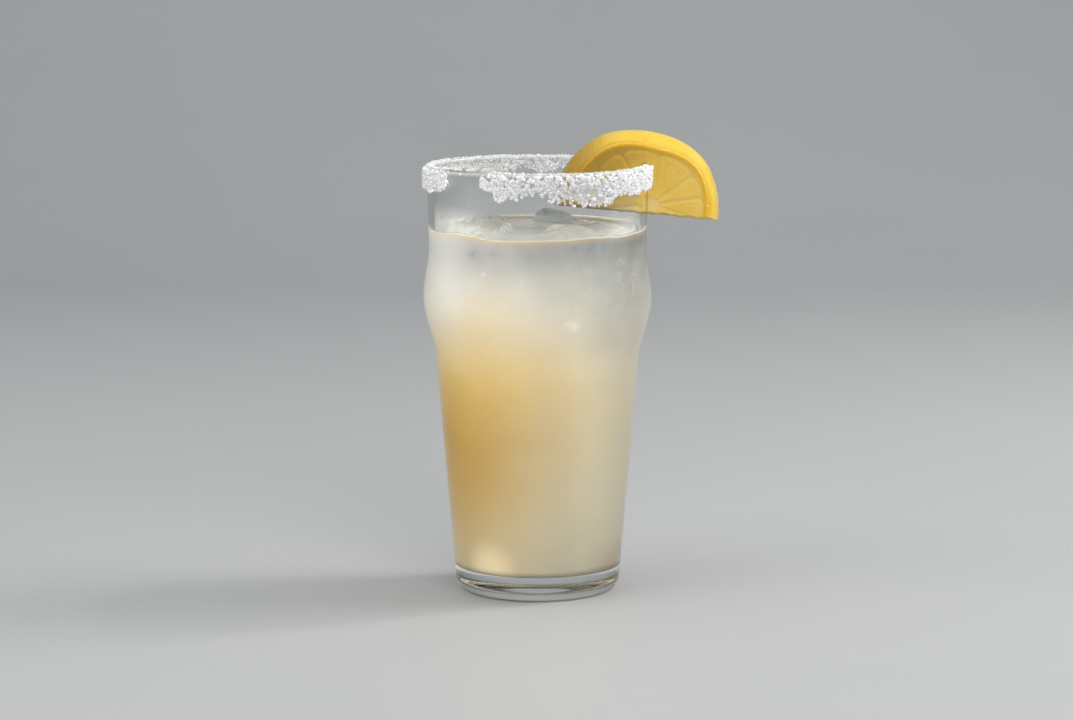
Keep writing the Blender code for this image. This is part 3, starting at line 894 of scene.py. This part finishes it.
def crust_at(stretch, angle, fall, bumps):
    """How far inside the crust a place lies, in metres and negative outside, and how wet it is there."""
    first, last = stretch[0][0] - CRUST_END, stretch[-1][0] + CRUST_END
    ragged = RAGGED * waver(angle * 0.6, 1.7, 0.3)
    ragged += RAGGED * waver(angle * 1.5, fall * 300, 6.3)
    depth = stretch_depth(stretch, min(max(angle, stretch[0][0]), stretch[-1][0]))
    above_lower_edge = depth + ragged - fall + LUMPY_EDGE * (bumps - 0.65)
    top_gap = 0.0022 * waver(angle * 0.7, 7.7, 1.3) + 0.0003
    below_top = fall - top_gap + 0.0006 * (bumps - 0.3)
    from_end = (min(angle - first, last - angle) - CRUST_END) * math.radians(1) * RIM_RADIUS
    from_end = from_end + 0.0016 * waver(fall * 420, angle * 0.05, 9.1) + 0.0012 * (bumps - 0.5)
    wet = smooth(WET_LOBE[0], WET_LOBE[0] + 3, angle) * (1 - smooth(WET_LOBE[1] - 3, WET_LOBE[1], angle))
    wet *= smooth(0.0035, 0.0055, fall)
    gap = waver(angle * 0.8, fall * 620, 2.2)
    from_gap = 0.0011 * (bumps - 0.10) - 0.0016 * max(0.0, gap - 0.28) + 0.0030 * wet
    return min(above_lower_edge, below_top, from_end, from_gap), wet


def crust_grid(stretch):
    """The crust's places on the glass by row and column: each with its lift, wetness and depth inside."""
    first, last = stretch[0][0] - CRUST_END, stretch[-1][0] + CRUST_END
    columns = round(math.radians(last - first) * RIM_RADIUS / CRUST_STEP)
    rows = round(CRUST_REACH / CRUST_STEP)
    grid = {}
    for row in range(rows + 1):
        fall = CRUST_REACH * row / rows - CRUST_RISE
        z = SALT_TOP - fall
        for column in range(columns + 1):
            angle = first + (last - first) * column / columns
            t = math.radians(angle)
            on_glass = Vector(spot(outer_radius(z), t, z))
            bumps = lump(on_glass, LUMP_SIZE)
            inside, wet = crust_at(stretch, angle, fall, bumps)
            if inside > 0:
                body = min(1.0, inside / 0.0008) ** 0.5
                lift = (0.00015 + (0.00025 + 0.00080 * bumps) * body) * (1 - 0.45 * wet)
                grid[row, column] = (on_glass, lift, wet, inside)
    return grid, rows, columns


def open_edges(quads):
    """The edges that only one of the quads has."""
    edges = {}
    for quad in quads:
        for a, b in zip(quad, quad[1:] + quad[:1]):
            if (b, a) in edges:
                del edges[b, a]
            else:
                edges[a, b] = True
    return list(edges)


def crust_sheets():
    """The salt's wet crust outside the rim: a closed lumpy sheet, and its outer skin as a carrier."""
    points, faces, skin_faces, wetness, cover = [], [], [], [], []
    for stretch in SALT_STRETCHES:
        grid, rows, columns = crust_grid(stretch)
        index = {}
        for key, (on_glass, lift, wet, inside) in grid.items():
            index[key] = len(points)
            out = Vector((on_glass.x, on_glass.y, 0)).normalized()
            hollow = 0.55 * lift * (1 - lump(on_glass, LUMP_SIZE * 0.55))
            points += [on_glass + out * lift, on_glass + out * (0.00002 + hollow)]
            wetness += [wet, wet]
            cover.append(min(1.0, 0.35 + inside / 0.0012) * (1 - 0.9 * wet))
        quads = []
        for row in range(rows):
            for column in range(columns):
                corners = [(row, column), (row + 1, column), (row + 1, column + 1), (row, column + 1)]
                if all(corner in index for corner in corners):
                    quads.append(tuple(index[corner] for corner in corners))
        for quad in quads:
            faces += [quad, tuple(k + 1 for k in quad[::-1])]
            skin_faces.append(tuple(k // 2 for k in quad))
        faces += [(b, a, a + 1, b + 1) for a, b in open_edges(quads)]
    shell = mesh_of("salt_crust", points, faces)
    store(shell, "wetness", wetness)
    round_rims(shell)
    return shell, with_cover(mesh_of("salt_skin", points[::2], skin_faces), cover)


def round_rims(shell):
    """Drops the points that no face uses and eases the steps along the crust's edges."""
    bm = bmesh.new()
    bm.from_mesh(shell)
    bmesh.ops.delete(bm, geom=[vert for vert in bm.verts if not vert.link_faces], context="VERTS")
    rims = [vert for vert in bm.verts if len(vert.link_faces) != 4 or len(vert.link_edges) != 4]
    rims = list({other for vert in rims for edge in vert.link_edges for other in edge.verts})
    for _ in range(4):
        bmesh.ops.smooth_vert(bm, verts=rims, factor=0.5, use_axis_x=True, use_axis_y=True, use_axis_z=True)
    bm.to_mesh(shell)
    bm.free()


def lip_carrier():
    """The rounded lip itself, for the dust of fine salt that sits on it."""
    section = arc(LIP_CENTRE, LIP_Z, LIP, LIP, -10, 170, 8)
    columns = 480
    points, cover = [], []
    for column in range(columns):
        angle = 360 * column / columns
        t = math.radians(angle)
        salted = salt_on_lip(angle) * (0.65 + 0.9 * waver(angle * 0.35, 0.4, 2.0))
        for r, z in section:
            points.append(spot(r, t, z))
            cover.append(max(0.0, salted))
    return with_cover(mesh_of("lip", points, ring_faces(columns, len(section), closed=False)), cover)


def film_finish(name, tone, film, thickest):
    """A thin uneven film: white where it is thick, and the glass shows where it is thin."""
    made, tree = new_finish(name)
    body = node(tree, "ShaderNodeBsdfPrincipled", {"Base Color": (*tone, 1), "Roughness": 0.35})
    clear = node(tree, "ShaderNodeBsdfTransparent")
    share = maths(tree, "MULTIPLY", film(tree), thickest)
    both = node(tree, "ShaderNodeMixShader", {0: share, 1: clear.outputs["BSDF"], 2: body.outputs["BSDF"]})
    close(tree, both.outputs["Shader"])
    return made


def salt_on_lip(angle):
    """How thickly the lip is salted at an angle."""
    if 150 < angle < 214 or 318 < angle < 358:
        return 1.0
    if 20 < angle <= 150:
        return 0.75
    if 244 < angle <= 318:
        return 0.65
    return 0.10 if angle > 20 else 0.0


def crusted(tree):
    """Where the dried film lies thick."""
    uneven = spread(tree, grain(tree, place_of(tree), 520, 4.0, 0.65), 0.30, 0.66, 0.25, 1.0)
    return maths(tree, "MULTIPLY", uneven, stored(tree, "fade"))


def lip_film():
    """The fine salt that has dried on the lip, as a thin closed skin."""
    columns = 240
    over, under = LIP + 0.00007, LIP + 0.00002
    section = arc(LIP_CENTRE, LIP_Z, over, over, -25, 200, 12)
    section += arc(LIP_CENTRE, LIP_Z, under, under, 200, -25, 12)
    turns = full_turn(columns)
    points = [spot(r, t, z) for r, z in section for t in turns]
    faces = ring_faces(len(section), columns) + band_joining(len(section), columns)
    mesh = outward(mesh_of("salt_film", points, faces))
    fade = [0.15 + 0.85 * salt_on_lip(math.degrees(t)) for _ in section for t in turns]
    store(mesh, "fade", fade)
    skin = piece("salt_film", mesh, film_finish("salt_film", (0.88, 0.87, 0.86), crusted, 0.50))
    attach(skin, "root")


def salt_finish(name, clear_share):
    """Coarse translucent salt: wet and glassy where it lies thin, white where it heaps up."""
    made, tree = new_finish(name)
    where = place_of(tree)
    tone = mix(tree, grain(tree, where, 900, 2.0), (0.89, 0.875, 0.88), (0.98, 0.97, 0.975))
    chipped = bump(tree, grain(tree, where, 3200, 2.0, 0.6), 0.30, 0.0002)
    body = node(tree, "ShaderNodeBsdfPrincipled", {
        "Base Color": tone, "Roughness": 0.18, "IOR": 1.54, "Normal": chipped,
        "Subsurface Weight": 0.75, "Subsurface Radius": (1.0, 0.97, 0.96), "Subsurface Scale": 0.0022,
        "Transmission Weight": spread(tree, stored(tree, "wetness"), 0, 1, clear_share, WET_CLEARNESS),
    })
    close(tree, lets_light_through(tree, body.outputs["BSDF"], (0.72, 0.71, 0.71)))
    return made


def make_salt():
    shell, skin = crust_sheets()
    crust = piece("salt_crust", shell, salt_finish("wet_salt", 0.35))
    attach(crust, "root")
    dry = salt_finish("coarse_salt", 0.05)
    tree = crystal_tree()
    scattered("salt_coarse", skin, tree, dry, "salt", False,
              spacing=0.00088, smallest=0.00078, largest=0.00128, seed=3)
    scattered("salt_middling", skin, tree, dry, "salt", False,
              spacing=0.00058, smallest=0.00044, largest=0.00076, seed=8)
    scattered("salt_fine", skin, tree, dry, "salt", True,
              spacing=0.00046, smallest=0.00020, largest=0.00036, seed=5)
    lip_film()
    lip = lip_carrier()
    scattered("salt_on_lip", lip, tree, dry, "salt", False,
              spacing=0.00060, smallest=0.00030, largest=0.00066, seed=4)
    scattered("salt_dust_on_lip", lip, tree, dry, "salt", True,
              spacing=0.00036, smallest=0.00014, largest=0.00028, seed=7)


# The lemon slice

def around(stations, angle):
    """A smooth closed curve through radii that are given at even steps round a full turn."""
    count = len(stations)
    place = (angle % 360) * count / 360
    index = int(place)
    before, here, after, beyond = (stations[(index + k) % count] for k in (-1, 0, 1, 2))
    return hermite(place - index, 1, here, after, (after - before) / 2, (beyond - here) / 2)


def segment_of(angle):
    """The membrane before an angle, the one after it, and the angle brought into that range."""
    angle = (angle - MEMBRANES[0]) % 360 + MEMBRANES[0]
    for start, end in zip(MEMBRANES, MEMBRANES[1:] + (MEMBRANES[0] + 360,)):
        if start <= angle <= end:
            return start, end, angle
    return start, end, angle


def pulp_depth(radius, angle, edge):
    """How far inside a segment's pulp a point of the face lies, in metres, and negative outside it."""
    start, end, angle = segment_of(angle)
    beside = radius * math.sin(math.radians(min(angle - start, end - angle))) - MEMBRANE_HALF
    room = min(1.0, max(0.0, beside / 0.0030))
    outer = edge - 0.0016 * (1 - room) ** 2 - radius
    inner = radius - CORE_RADIUS * 1.6
    return min(beside, outer, inner)


def slice_placement():
    turn = Matrix.Rotation(math.radians(SLICE_SWING), 4, "Z")
    turn = turn @ Matrix.Rotation(math.radians(-SLICE_LEAN), 4, "X")
    turn = turn @ Matrix.Rotation(math.radians(SLICE_ROLL), 4, "Y")
    upright = Matrix.Rotation(math.radians(90), 4, "X")
    return Matrix.Translation(SLICE_CORE) @ turn @ upright


def face_point(angle, radius, pulp_edge, level, side):
    """A point of a cut face, raised a little where it lies on the pulp."""
    lift = PULP_LIFT * smooth(0, 0.0010, pulp_depth(radius, angle, pulp_edge))
    lift += 0.00005 * waver(radius * 900, angle * 0.25, level * 700)
    t = math.radians(angle)
    return spot(radius, t, level + lift * side)


def peel_ring(angles, share):
    """The peel at a share of the slice's thickness, swelling between its front and back edges."""
    widened = 1 - (1 - share) ** PEEL_BULGE
    ring = []
    for angle in angles:
        t = math.radians(angle)
        front, back = around(FRONT_EDGE, angle), around(BACK_EDGE, angle)
        radius = front + (back - front) * widened
        swell = waver(math.cos(t) * 2.2, math.sin(t) * 2.2, share * 1.4)
        radius += 0.00035 * swell * smooth(0, 0.12, share) * smooth(0, 0.12, 1 - share)
        ring.append(spot(radius, t, -SLICE_THICKNESS * share))
    return ring


def wheel_mesh():
    """The full round slice in its own frame, finely divided in the half that is kept."""
    first, last = KEPT_HALF
    angles = [float(k) for k in range(first, last)] + [last + k * 8.0 for k in range(0, 16)]
    shares = [k / FACE_RINGS for k in range(1, FACE_RINGS + 1)]
    rings = [
        [face_point(a, around(FRONT_EDGE, a) * share, around(PULP_EDGE, a), 0, 1) for a in angles]
        for share in shares
    ]
    rings += [peel_ring(angles, step / PEEL_RINGS) for step in range(1, PEEL_RINGS)]
    for share in shares[::-1]:
        rings.append([
            face_point(a, around(BACK_EDGE, a) * share, around(BACK_EDGE, a) - RIND_AT_BACK,
                       -SLICE_THICKNESS, -1)
            for a in angles
        ])
    points = [p for ring in rings for p in ring]
    faces = ring_faces(len(rings), len(angles))
    close_ends(points, faces, len(angles), 0, -SLICE_THICKNESS)
    return mesh_of("lemon_wheel", points, faces)


def halving_cutter():
    """Everything below the halving cut, with the slightly rough top that a knife leaves."""
    half = 1.4 * max(BACK_EDGE)
    wide, deep = 150, 34
    points = []
    for row in range(deep + 1):
        depth = -SLICE_THICKNESS / 2 + SLICE_THICKNESS * 0.8 * (2 * row / deep - 1)
        for column in range(wide + 1):
            x = half * (2 * column / wide - 1)
            rough = 0.0004 * waver(x * 320, depth * 210, 4.0)
            rough += 0.00035 * waver(x * 900, depth * 500, 1.0)
            points.append((x, rough - FLAT_BELOW_CORE - FLAT_RISE * depth, depth))
    count = len(points)
    points += [(x, -half, z) for x, _, z in points]
    across = wide + 1
    faces = []
    for quad in ring_faces(deep + 1, across, closed=False):
        faces += [quad, tuple(count + k for k in quad[::-1])]
    border = list(range(wide)) + [wide + across * r for r in range(deep)]
    border += [across * deep + wide - c for c in range(wide)] + [across * (deep - r) for r in range(deep)]
    for k, here in enumerate(border):
        there = border[(k + 1) % len(border)]
        faces.append((here, there, there + count, here + count))
    return outward(mesh_of("halving", points, faces))


def slit_cutter():
    """The glass's wall near the rim, grown by the slit's play."""
    heights = levels(DRINK_LEVEL, LIP_Z, 0.0008)[:-1]
    outline = [(outer_radius(z) + SLIT_PLAY, z) for z in heights]
    outline += arc(LIP_CENTRE, LIP_Z, LIP + SLIT_PLAY, LIP + SLIT_PLAY, 0, 180, 12)
    outline += [(inner_radius(z) - SLIT_PLAY, z) for z in heights[::-1]]
    columns = 240
    turns = [math.radians(-60 + 120 * k / (columns - 1)) for k in range(columns)]
    points = [spot(r, t, z) for t in turns for r, z in outline]
    wide = len(outline)
    faces = ring_faces(columns, wide)
    faces += [tuple(range(wide)), tuple(range((columns - 1) * wide, columns * wide))[::-1]]
    return outward(mesh_of("slit", points, faces))


def cut_from(body_mesh, cutters):
    """The body with the cutters taken away, as a plain mesh."""
    body = added("being_cut", body_mesh)
    tools = []
    for cutter in cutters:
        tool = added("tool", cutter)
        modifier = body.modifiers.new("cut", "BOOLEAN")
        modifier.operation = "DIFFERENCE"
        modifier.solver = "EXACT"
        modifier.object = tool
        tools.append(tool)
    graph = bpy.context.evaluated_depsgraph_get()
    made = bpy.data.meshes.new_from_object(body.evaluated_get(graph))
    for gone in [body] + tools:
        bpy.data.objects.remove(gone, do_unlink=True)
    return made


def peel_radius(angle, level):
    """The peel's radius at a level of the slice, without its swelling."""
    widened = 1 - (1 - min(1, max(0, -level / SLICE_THICKNESS))) ** PEEL_BULGE
    return around(FRONT_EDGE, angle) + (around(BACK_EDGE, angle) - around(FRONT_EDGE, angle)) * widened


def mark_slice(mesh):
    """Stores each point's depth under the peel and in the pulp, and its place along a segment."""
    marks = {"under_peel": [], "in_pulp": []}
    along = []
    for vert in mesh.vertices:
        x, y, level = vert.co
        angle, radius = math.degrees(math.atan2(y, x)), math.hypot(x, y)
        share = min(1, max(0, -level / SLICE_THICKNESS))
        edge = around(PULP_EDGE, angle) * (1 - share) + (around(BACK_EDGE, angle) - RIND_AT_BACK) * share
        start, end, turned_angle = segment_of(angle)
        marks["under_peel"].append(peel_radius(angle, level) - radius)
        marks["in_pulp"].append(pulp_depth(radius, angle, edge))
        bent = (turned_angle - (start + end) / 2) * 0.35 + (start + end) / 2 * 0.8
        along.extend((radius * 1000, bent, level * 1000))
    for name, values in marks.items():
        store(mesh, name, values)
    mesh.attributes.new("along", "FLOAT_VECTOR", "POINT").data.foreach_set("vector", along)
    return marks["under_peel"]


def make_lemon():
    placement = slice_placement()
    slit = slit_cutter()
    slit.transform(placement.inverted())
    mesh = cut_from(outward(wheel_mesh()), (halving_cutter(), slit))
    depths = mark_slice(mesh)
    mesh.transform(placement)
    mesh.materials.clear()
    flesh = lemon_finish("lemon_flesh", 0.38, 0.12)
    peel = lemon_finish("lemon_peel", 0.28, 0.70)
    lemon = piece("lemon_slice_fresh", mesh, flesh, peel)
    on_peel = [min(depths[k] for k in poly.vertices) < 0.0008 for poly in mesh.polygons]
    mesh.polygons.foreach_set("material_index", [int(flag) for flag in on_peel])
    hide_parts("lemon_slice")
    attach(lemon, "root")


def pulp_sacs(tree):
    """The small juice sacs, drawn out along each segment: their pattern, and a finer streak."""
    place = node(tree, "ShaderNodeMapping", {
        "Vector": stored(tree, "along", "Vector"), "Scale": (0.13, 0.55, 0.35),
    }).outputs["Vector"]
    sacs = node(tree, "ShaderNodeTexVoronoi", {
        "Vector": place, "Scale": 1.7, "Randomness": 0.9,
    }, feature="SMOOTH_F1")
    return sacs.outputs["Distance"], grain(tree, place, 2.6, 2.0, 0.45)


def flesh_colour(tree, where, sacs, streak, inside):
    """Golden juice, paler membranes that turn to pith, darker towards the left as painted shade, and paler on
    the far right as painted light.
    """
    from_core = parts_of(tree, stored(tree, "along", "Vector"))[0]
    juice = mix(tree, spread(tree, streak, 0.22, 0.80), (0.60, 0.385, 0.050), (0.70, 0.480, 0.095))
    juice = mix(tree, spread(tree, sacs, 0.30, 0.90, 0.0, 0.14), juice, (0.84, 0.66, 0.25))
    mottle = spread(tree, grain(tree, where, 150, 2.0), 0.40, 0.75, 0.0, 0.3)
    juice = mix(tree, mottle, juice, (0.52, 0.32, 0.040))
    by_peel = spread(tree, from_core, 15.5, 19.5, 0.0, 0.45, "SMOOTHSTEP")
    juice = mix(tree, by_peel, juice, (0.44, 0.265, 0.030))
    membrane = mix(tree, spread(tree, from_core, 5, 16), (0.68, 0.51, 0.19), (0.58, 0.400, 0.085))
    # painted shade: the pith is given the dark olive that it shows in shade
    pith = mix(tree, grain(tree, where, 260, 2.0), (0.40, 0.250, 0.030), (0.48, 0.320, 0.058))
    membrane = mix(tree, spread(tree, from_core, 17, 20), membrane, pith)
    flesh = mix(tree, inside, membrane, juice)
    x = parts_of(tree, where)[0]
    # painted shade darkening the left of the face, and painted light brightening its far right
    flesh = mix(tree, spread(tree, x, 0.046, 0.018, 0.0, 0.65, "SMOOTHSTEP"), flesh, (0.33, 0.200, 0.020))
    return mix(tree, spread(tree, x, 0.044, 0.060, 0.0, 0.45, "SMOOTHSTEP"), flesh, (0.80, 0.58, 0.150))


def zest_colour(tree, where):
    """Blotched yellow peel, deeper beside the cut face, partly its darker oil layer and partly painted shade,
    and darker towards the left as painted shade.
    """
    blotch = spread(tree, grain(tree, where, 90, 3.0, 0.55), 0.35, 0.68)
    zest = mix(tree, blotch, (0.78, 0.50, 0.020), (0.85, 0.60, 0.065))
    level = parts_of(tree, stored(tree, "along", "Vector"))[2]
    # deeper beside the cut face: partly the peel's darker oil layer, partly painted shade where the peel
    # turns away from the light
    by_face = spread(tree, level, -0.2, -3.6, 1.0, 0.0, "SMOOTHSTEP")
    zest = mix(tree, by_face, zest, (0.64, 0.385, 0.010))
    # painted shade: darker towards the left
    x = parts_of(tree, where)[0]
    return mix(tree, spread(tree, x, 0.034, 0.010, 0.0, 0.85, "SMOOTHSTEP"), zest, (0.32, 0.175, 0.004))


def lemon_finish(name, roughness, coat):
    """Wet golden pulp in pale membranes, a thin pith and a waxy dimpled peel."""
    made, tree = new_finish(name)
    where = place_of(tree)
    sacs, streak = pulp_sacs(tree)
    inside = spread(tree, stored(tree, "in_pulp"), -0.00018, 0.00032, kind="SMOOTHSTEP")
    skin = spread(tree, stored(tree, "under_peel"), 0.0005, 0.0018, 1.0, 0.0, "SMOOTHSTEP")
    colour = mix(tree, skin, flesh_colour(tree, where, sacs, streak, inside), zest_colour(tree, where))

    pores = node(tree, "ShaderNodeTexVoronoi", {
        "Vector": where, "Scale": 900, "Randomness": 0.85,
    }, feature="SMOOTH_F1")
    dimple = spread(tree, pores.outputs["Distance"], 0.0, 0.45, kind="SMOOTHSTEP")
    peel_normal = bump(tree, maths(tree, "MULTIPLY", dimple, skin), 0.55, 0.0004)
    normal = bump(tree, maths(tree, "MULTIPLY", sacs, inside), 0.14, 0.0004, peel_normal)
    body = node(tree, "ShaderNodeBsdfPrincipled", {
        "Base Color": colour, "Roughness": roughness, "IOR": 1.42, "Normal": normal,
        "Specular IOR Level": 0.35, "Coat Weight": coat, "Coat Roughness": 0.10, "Coat Normal": peel_normal,
        "Subsurface Weight": 0.8, "Subsurface Radius": (1.0, 0.66, 0.20), "Subsurface Scale": 0.0035,
    })
    close(tree, body.outputs["BSDF"])
    return made


# Wetness on the glass and froth on the drink

def water_finish(name, tint, roughness, clearness=1.0):
    """Water or wet ice, clear or a little milky."""
    made, tree = new_finish(name)
    where = place_of(tree)
    body = node(tree, "ShaderNodeBsdfPrincipled", {
        "Base Color": (*tint, 1), "Roughness": roughness, "IOR": 1.33, "Transmission Weight": clearness,
        "Normal": bump(tree, grain(tree, where, 900, 1.0), 0.1, 0.0002),
    })
    close(tree, lets_light_through(tree, body.outputs["BSDF"], tint))
    return made


def wall_carrier(name, radius_at, offset, low, high, first, last, cover_at):
    """Part of the glass's side as a carrier, its cover given by a function of angle and height."""
    columns, rows = 160, 40
    points, cover = [], []
    for row in range(rows + 1):
        z = low + (high - low) * row / rows
        for column in range(columns + 1):
            angle = first + (last - first) * column / columns
            t = math.radians(angle)
            r = radius_at(z) + offset
            points.append(spot(r, t, z))
            cover.append(max(0.0, min(1.0, cover_at(angle, z))))
    faces = ring_faces(rows + 1, columns + 1, closed=False)
    return with_cover(mesh_of(name, points, faces), cover)


CHILL_ANGLE, CHILL_HEIGHT = 316, 0.1185


def chill(angle, z):
    """Condensation, thickest on the right of the bulge."""
    patch = bell((angle - CHILL_ANGLE) / 22, (z - CHILL_HEIGHT) / 0.010)
    return patch * (0.6 + 1.2 * waver(angle * 0.12, z * 260, 0.0))


def splash(angle, z):
    """Drops left on the inside above the drink, fewer higher up."""
    spots = 0.15 + 0.9 * waver(angle * 0.07, z * 130, 5.0)
    return spots * (1 - smooth(0.137, 0.150, z))


SLUSH = (
    # x, y, reach: where broken ice lies on the drink
    (-0.0205, -0.0215, 0.0050), (-0.0110, -0.0175, 0.0035), (-0.0285, -0.0140, 0.0040),
    (0.0060, -0.0285, 0.0028), (-0.0330, -0.0030, 0.0030), (0.0240, -0.0250, 0.0045),
    (0.0170, 0.0210, 0.0040),
)
SMEAR_HEIGHT = 0.0105
SMEAR_OFF_WALL = -0.00005
SMEAR_THICKNESS = 0.00004


def heaped_ice(x, y, patch):
    """How thickly broken ice lies at a place of the drink's top."""
    heap = max(math.exp(-((x - sx) ** 2 + (y - sy) ** 2) / reach**2) for sx, sy, reach in SLUSH)
    return heap * (0.20 + 0.60 * patch)


def bubbles(x, y, patch, angle, inset):
    """How thickly bubbles lie at a place of the drink's top: along the wall, and round the ice."""
    edge = 0.9 * math.exp(-inset / 0.0012) * smooth(0, 0.5, 0.5 + waver(angle * 0.05, 3.0, 0))
    near = 0.0
    for _, centre, size, _ in ICE:
        gap = math.hypot(x - centre[0], y - centre[1]) - size[0] / 2
        near = max(near, 0.75 * bell(gap / 0.0022))
    return min(1.0, max(edge, near * patch, 0.12 * patch))


def froth_carrier(icy):
    """The drink's top as a carrier, for broken ice or for bubbles."""
    points, cover = [], []
    reach = inner_radius(DRINK_LEVEL)
    columns = 240
    insets = [0.0003, 0.0009] + levels(0.0016, 0.030, 0.0008)
    for inset in insets:
        for column in range(columns):
            t = math.tau * column / columns
            angle = math.degrees(t)
            x, y, _ = spot(reach - inset, t, 0)
            points.append((x, y, surface_height(x, y, inset, contact_height(angle))))
            patch = smooth(0.0, 0.45, waver(x * 150, y * 150, 8.0))
            cover.append(heaped_ice(x, y, patch) if icy else bubbles(x, y, patch, angle, inset))
    return with_cover(mesh_of("froth_carrier", points, ring_faces(len(insets), columns)), cover)


def smeared(tree):
    """Where the drink has run back down the inside of the glass."""
    runs = grain(tree, place_of(tree, scale=(1, 1, 0.16)), 300, 2.0, 0.5)
    runs = spread(tree, runs, 0.22, 0.68, 0.65, 1.0)
    patchy = spread(tree, grain(tree, place_of(tree), 70, 2.0), 0.25, 0.55, 0.3, 1.0)
    return maths(tree, "MULTIPLY", maths(tree, "MULTIPLY", runs, patchy), stored(tree, "fade"))


def make_smear():
    """The smear is a film between two close skins, from the drink's edge upwards."""
    columns, rows = 200, 16
    upward = list(range(rows + 1))
    points, fade = [], []
    skins = ((SMEAR_OFF_WALL, upward), (SMEAR_OFF_WALL - SMEAR_THICKNESS, upward[::-1]))
    for off_wall, order in skins:
        for row in order:
            share = row / rows
            for column in range(columns):
                t = math.tau * column / columns
                angle = math.degrees(t)
                low = DRINK_LEVEL + MENISCUS_RISE + contact_height(angle) + 0.0001
                z = low + SMEAR_HEIGHT * share
                r = inner_radius(z) + off_wall
                points.append(spot(r, t, z))
                side = max(bell((angle - 208) / 24), 0.6 * bell((angle - 325) / 18))
                fade.append((1 - share) ** 1.3 * (0.10 + 0.85 * side))
    total = 2 * (rows + 1)
    faces = ring_faces(total, columns) + band_joining(total, columns)
    mesh = outward(mesh_of("milky_smear", points, faces))
    store(mesh, "fade", fade)
    smear = piece("milky_smear", mesh, film_finish("milky_smear", (0.80, 0.79, 0.75), smeared, 1.0))
    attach(smear, "root")


def make_wetness():
    tree = bead_tree()
    water = water_finish("water_drops", (0.97, 0.98, 0.98), 0.02)
    dew = wall_carrier("dew", outer_radius, 0.0, 0.098, 0.132, 262, 372, chill)
    mist = water_finish("condensation", (0.95, 0.95, 0.94), 0.06, 0.85)
    scattered("condensation", dew, tree, mist, "glass", False,
              spacing=0.00028, smallest=0.00016, largest=0.00034, seed=2)
    drops = wall_carrier("drops", inner_radius, 0.0, 0.1362, 0.150, 0, 358, splash)
    scattered("splashes", drops, tree, water, "lemonade", False,
              spacing=0.0016, smallest=0.00025, largest=0.00075, seed=6)
    slush = water_finish("slush_ice", (0.84, 0.85, 0.85), 0.06, 0.80)
    scattered("slush", froth_carrier(True), crystal_tree(), slush, "ice", True,
              spacing=0.00055, smallest=0.00035, largest=0.00105, seed=12)
    bubble = water_finish("froth_bubbles", (0.88, 0.86, 0.80), 0.05)
    scattered("froth", froth_carrier(False), tree, bubble, "lemonade", False,
              spacing=0.00042, smallest=0.00030, largest=0.00070, seed=9)


# The studio

LAMPS_AIM = Vector((0, 0, 0.09))
CAMERA_PLACE = (-0.0004, -1.21654, 0.263329)
CAMERA_DOWN = 0.14555
FOCAL_LENGTH = 112.6


def make_studio():
    """A pale floor that curves up behind, an even sky and soft lamps."""
    made, tree = new_finish("pale_floor")
    tone = mix(tree, grain(tree, place_of(tree), 6, 3.0), (0.42, 0.42, 0.42), (0.45, 0.45, 0.445))
    body = node(tree, "ShaderNodeBsdfPrincipled", {"Base Color": tone, "Roughness": 0.5})
    close(tree, body.outputs["BSDF"])
    profile = [(y, 0.0) for y in (-4.0, -1.0, 0.9)]
    profile += [(0.9 + 0.8 * math.sin(t), 0.8 - 0.8 * math.cos(t)) for t in levels(0.05, math.pi / 2, 0.08)]
    profile += [(1.7, 3.0)]
    points = [(x, y, z) for y, z in profile for x in (-4, 4)]
    faces = [(2 * k, 2 * k + 1, 2 * k + 3, 2 * k + 2) for k in range(len(profile) - 1)]
    floor = piece("floor", mesh_of("floor", points, faces), made)

    world = bpy.data.worlds.new("studio")
    world.use_nodes = True
    sky = world.node_tree.nodes["Background"].inputs
    sky["Color"].default_value = (0.80, 0.86, 0.92, 1)
    sky["Strength"].default_value = 0.58
    bpy.context.scene.world = world
    bpy.context.scene.view_settings.view_transform = "Standard"

    lamps = (
        # name, place, size, power, colour
        ("key", (0.95, 0.15, 0.70), (0.50, 0.50), 6.5, (1.0, 0.985, 0.96)),
        ("glint", (0.72, 0.20, 0.95), (0.09, 0.09), 2.2, (1.0, 0.99, 0.97)),
        ("fill", (-0.90, -0.45, 0.40), (0.80, 0.80), 4.8, (1.0, 0.98, 0.95)),
        ("front", (0.35, -1.20, 0.75), (0.70, 0.70), 7.5, (1.0, 0.99, 0.97)),
        ("top", (0.0, 0.0, 1.2), (1.40, 1.40), 4.8, (1.0, 1.0, 1.0)),
    )
    for name, place, size, power, colour in lamps:
        lamp = bpy.data.lights.new(name, "AREA")
        lamp.shape = "RECTANGLE"
        lamp.size, lamp.size_y = size
        lamp.energy = power
        lamp.color = colour
        holder = added(name, lamp)
        holder.location = place
        aim = LAMPS_AIM - Vector(place)
        holder.rotation_euler = aim.to_track_quat("-Z", "Y").to_euler()
        holder.visible_glossy = name in ("key", "glint", "top")


def make_camera():
    """The photo's own view, from a little above."""
    lens = bpy.data.cameras.new("camera")
    lens.sensor_width = 36
    lens.lens = FOCAL_LENGTH
    lens.clip_start = 0.05
    camera = added("camera", lens)
    camera.location = CAMERA_PLACE
    camera.rotation_euler = (math.pi / 2 - CAMERA_DOWN, 0, 0)
    bpy.context.scene.camera = camera


make_camera()
make_studio()
make_glass()
make_drink()
make_ice()
make_salt()
make_lemon()
make_smear()
make_wetness()
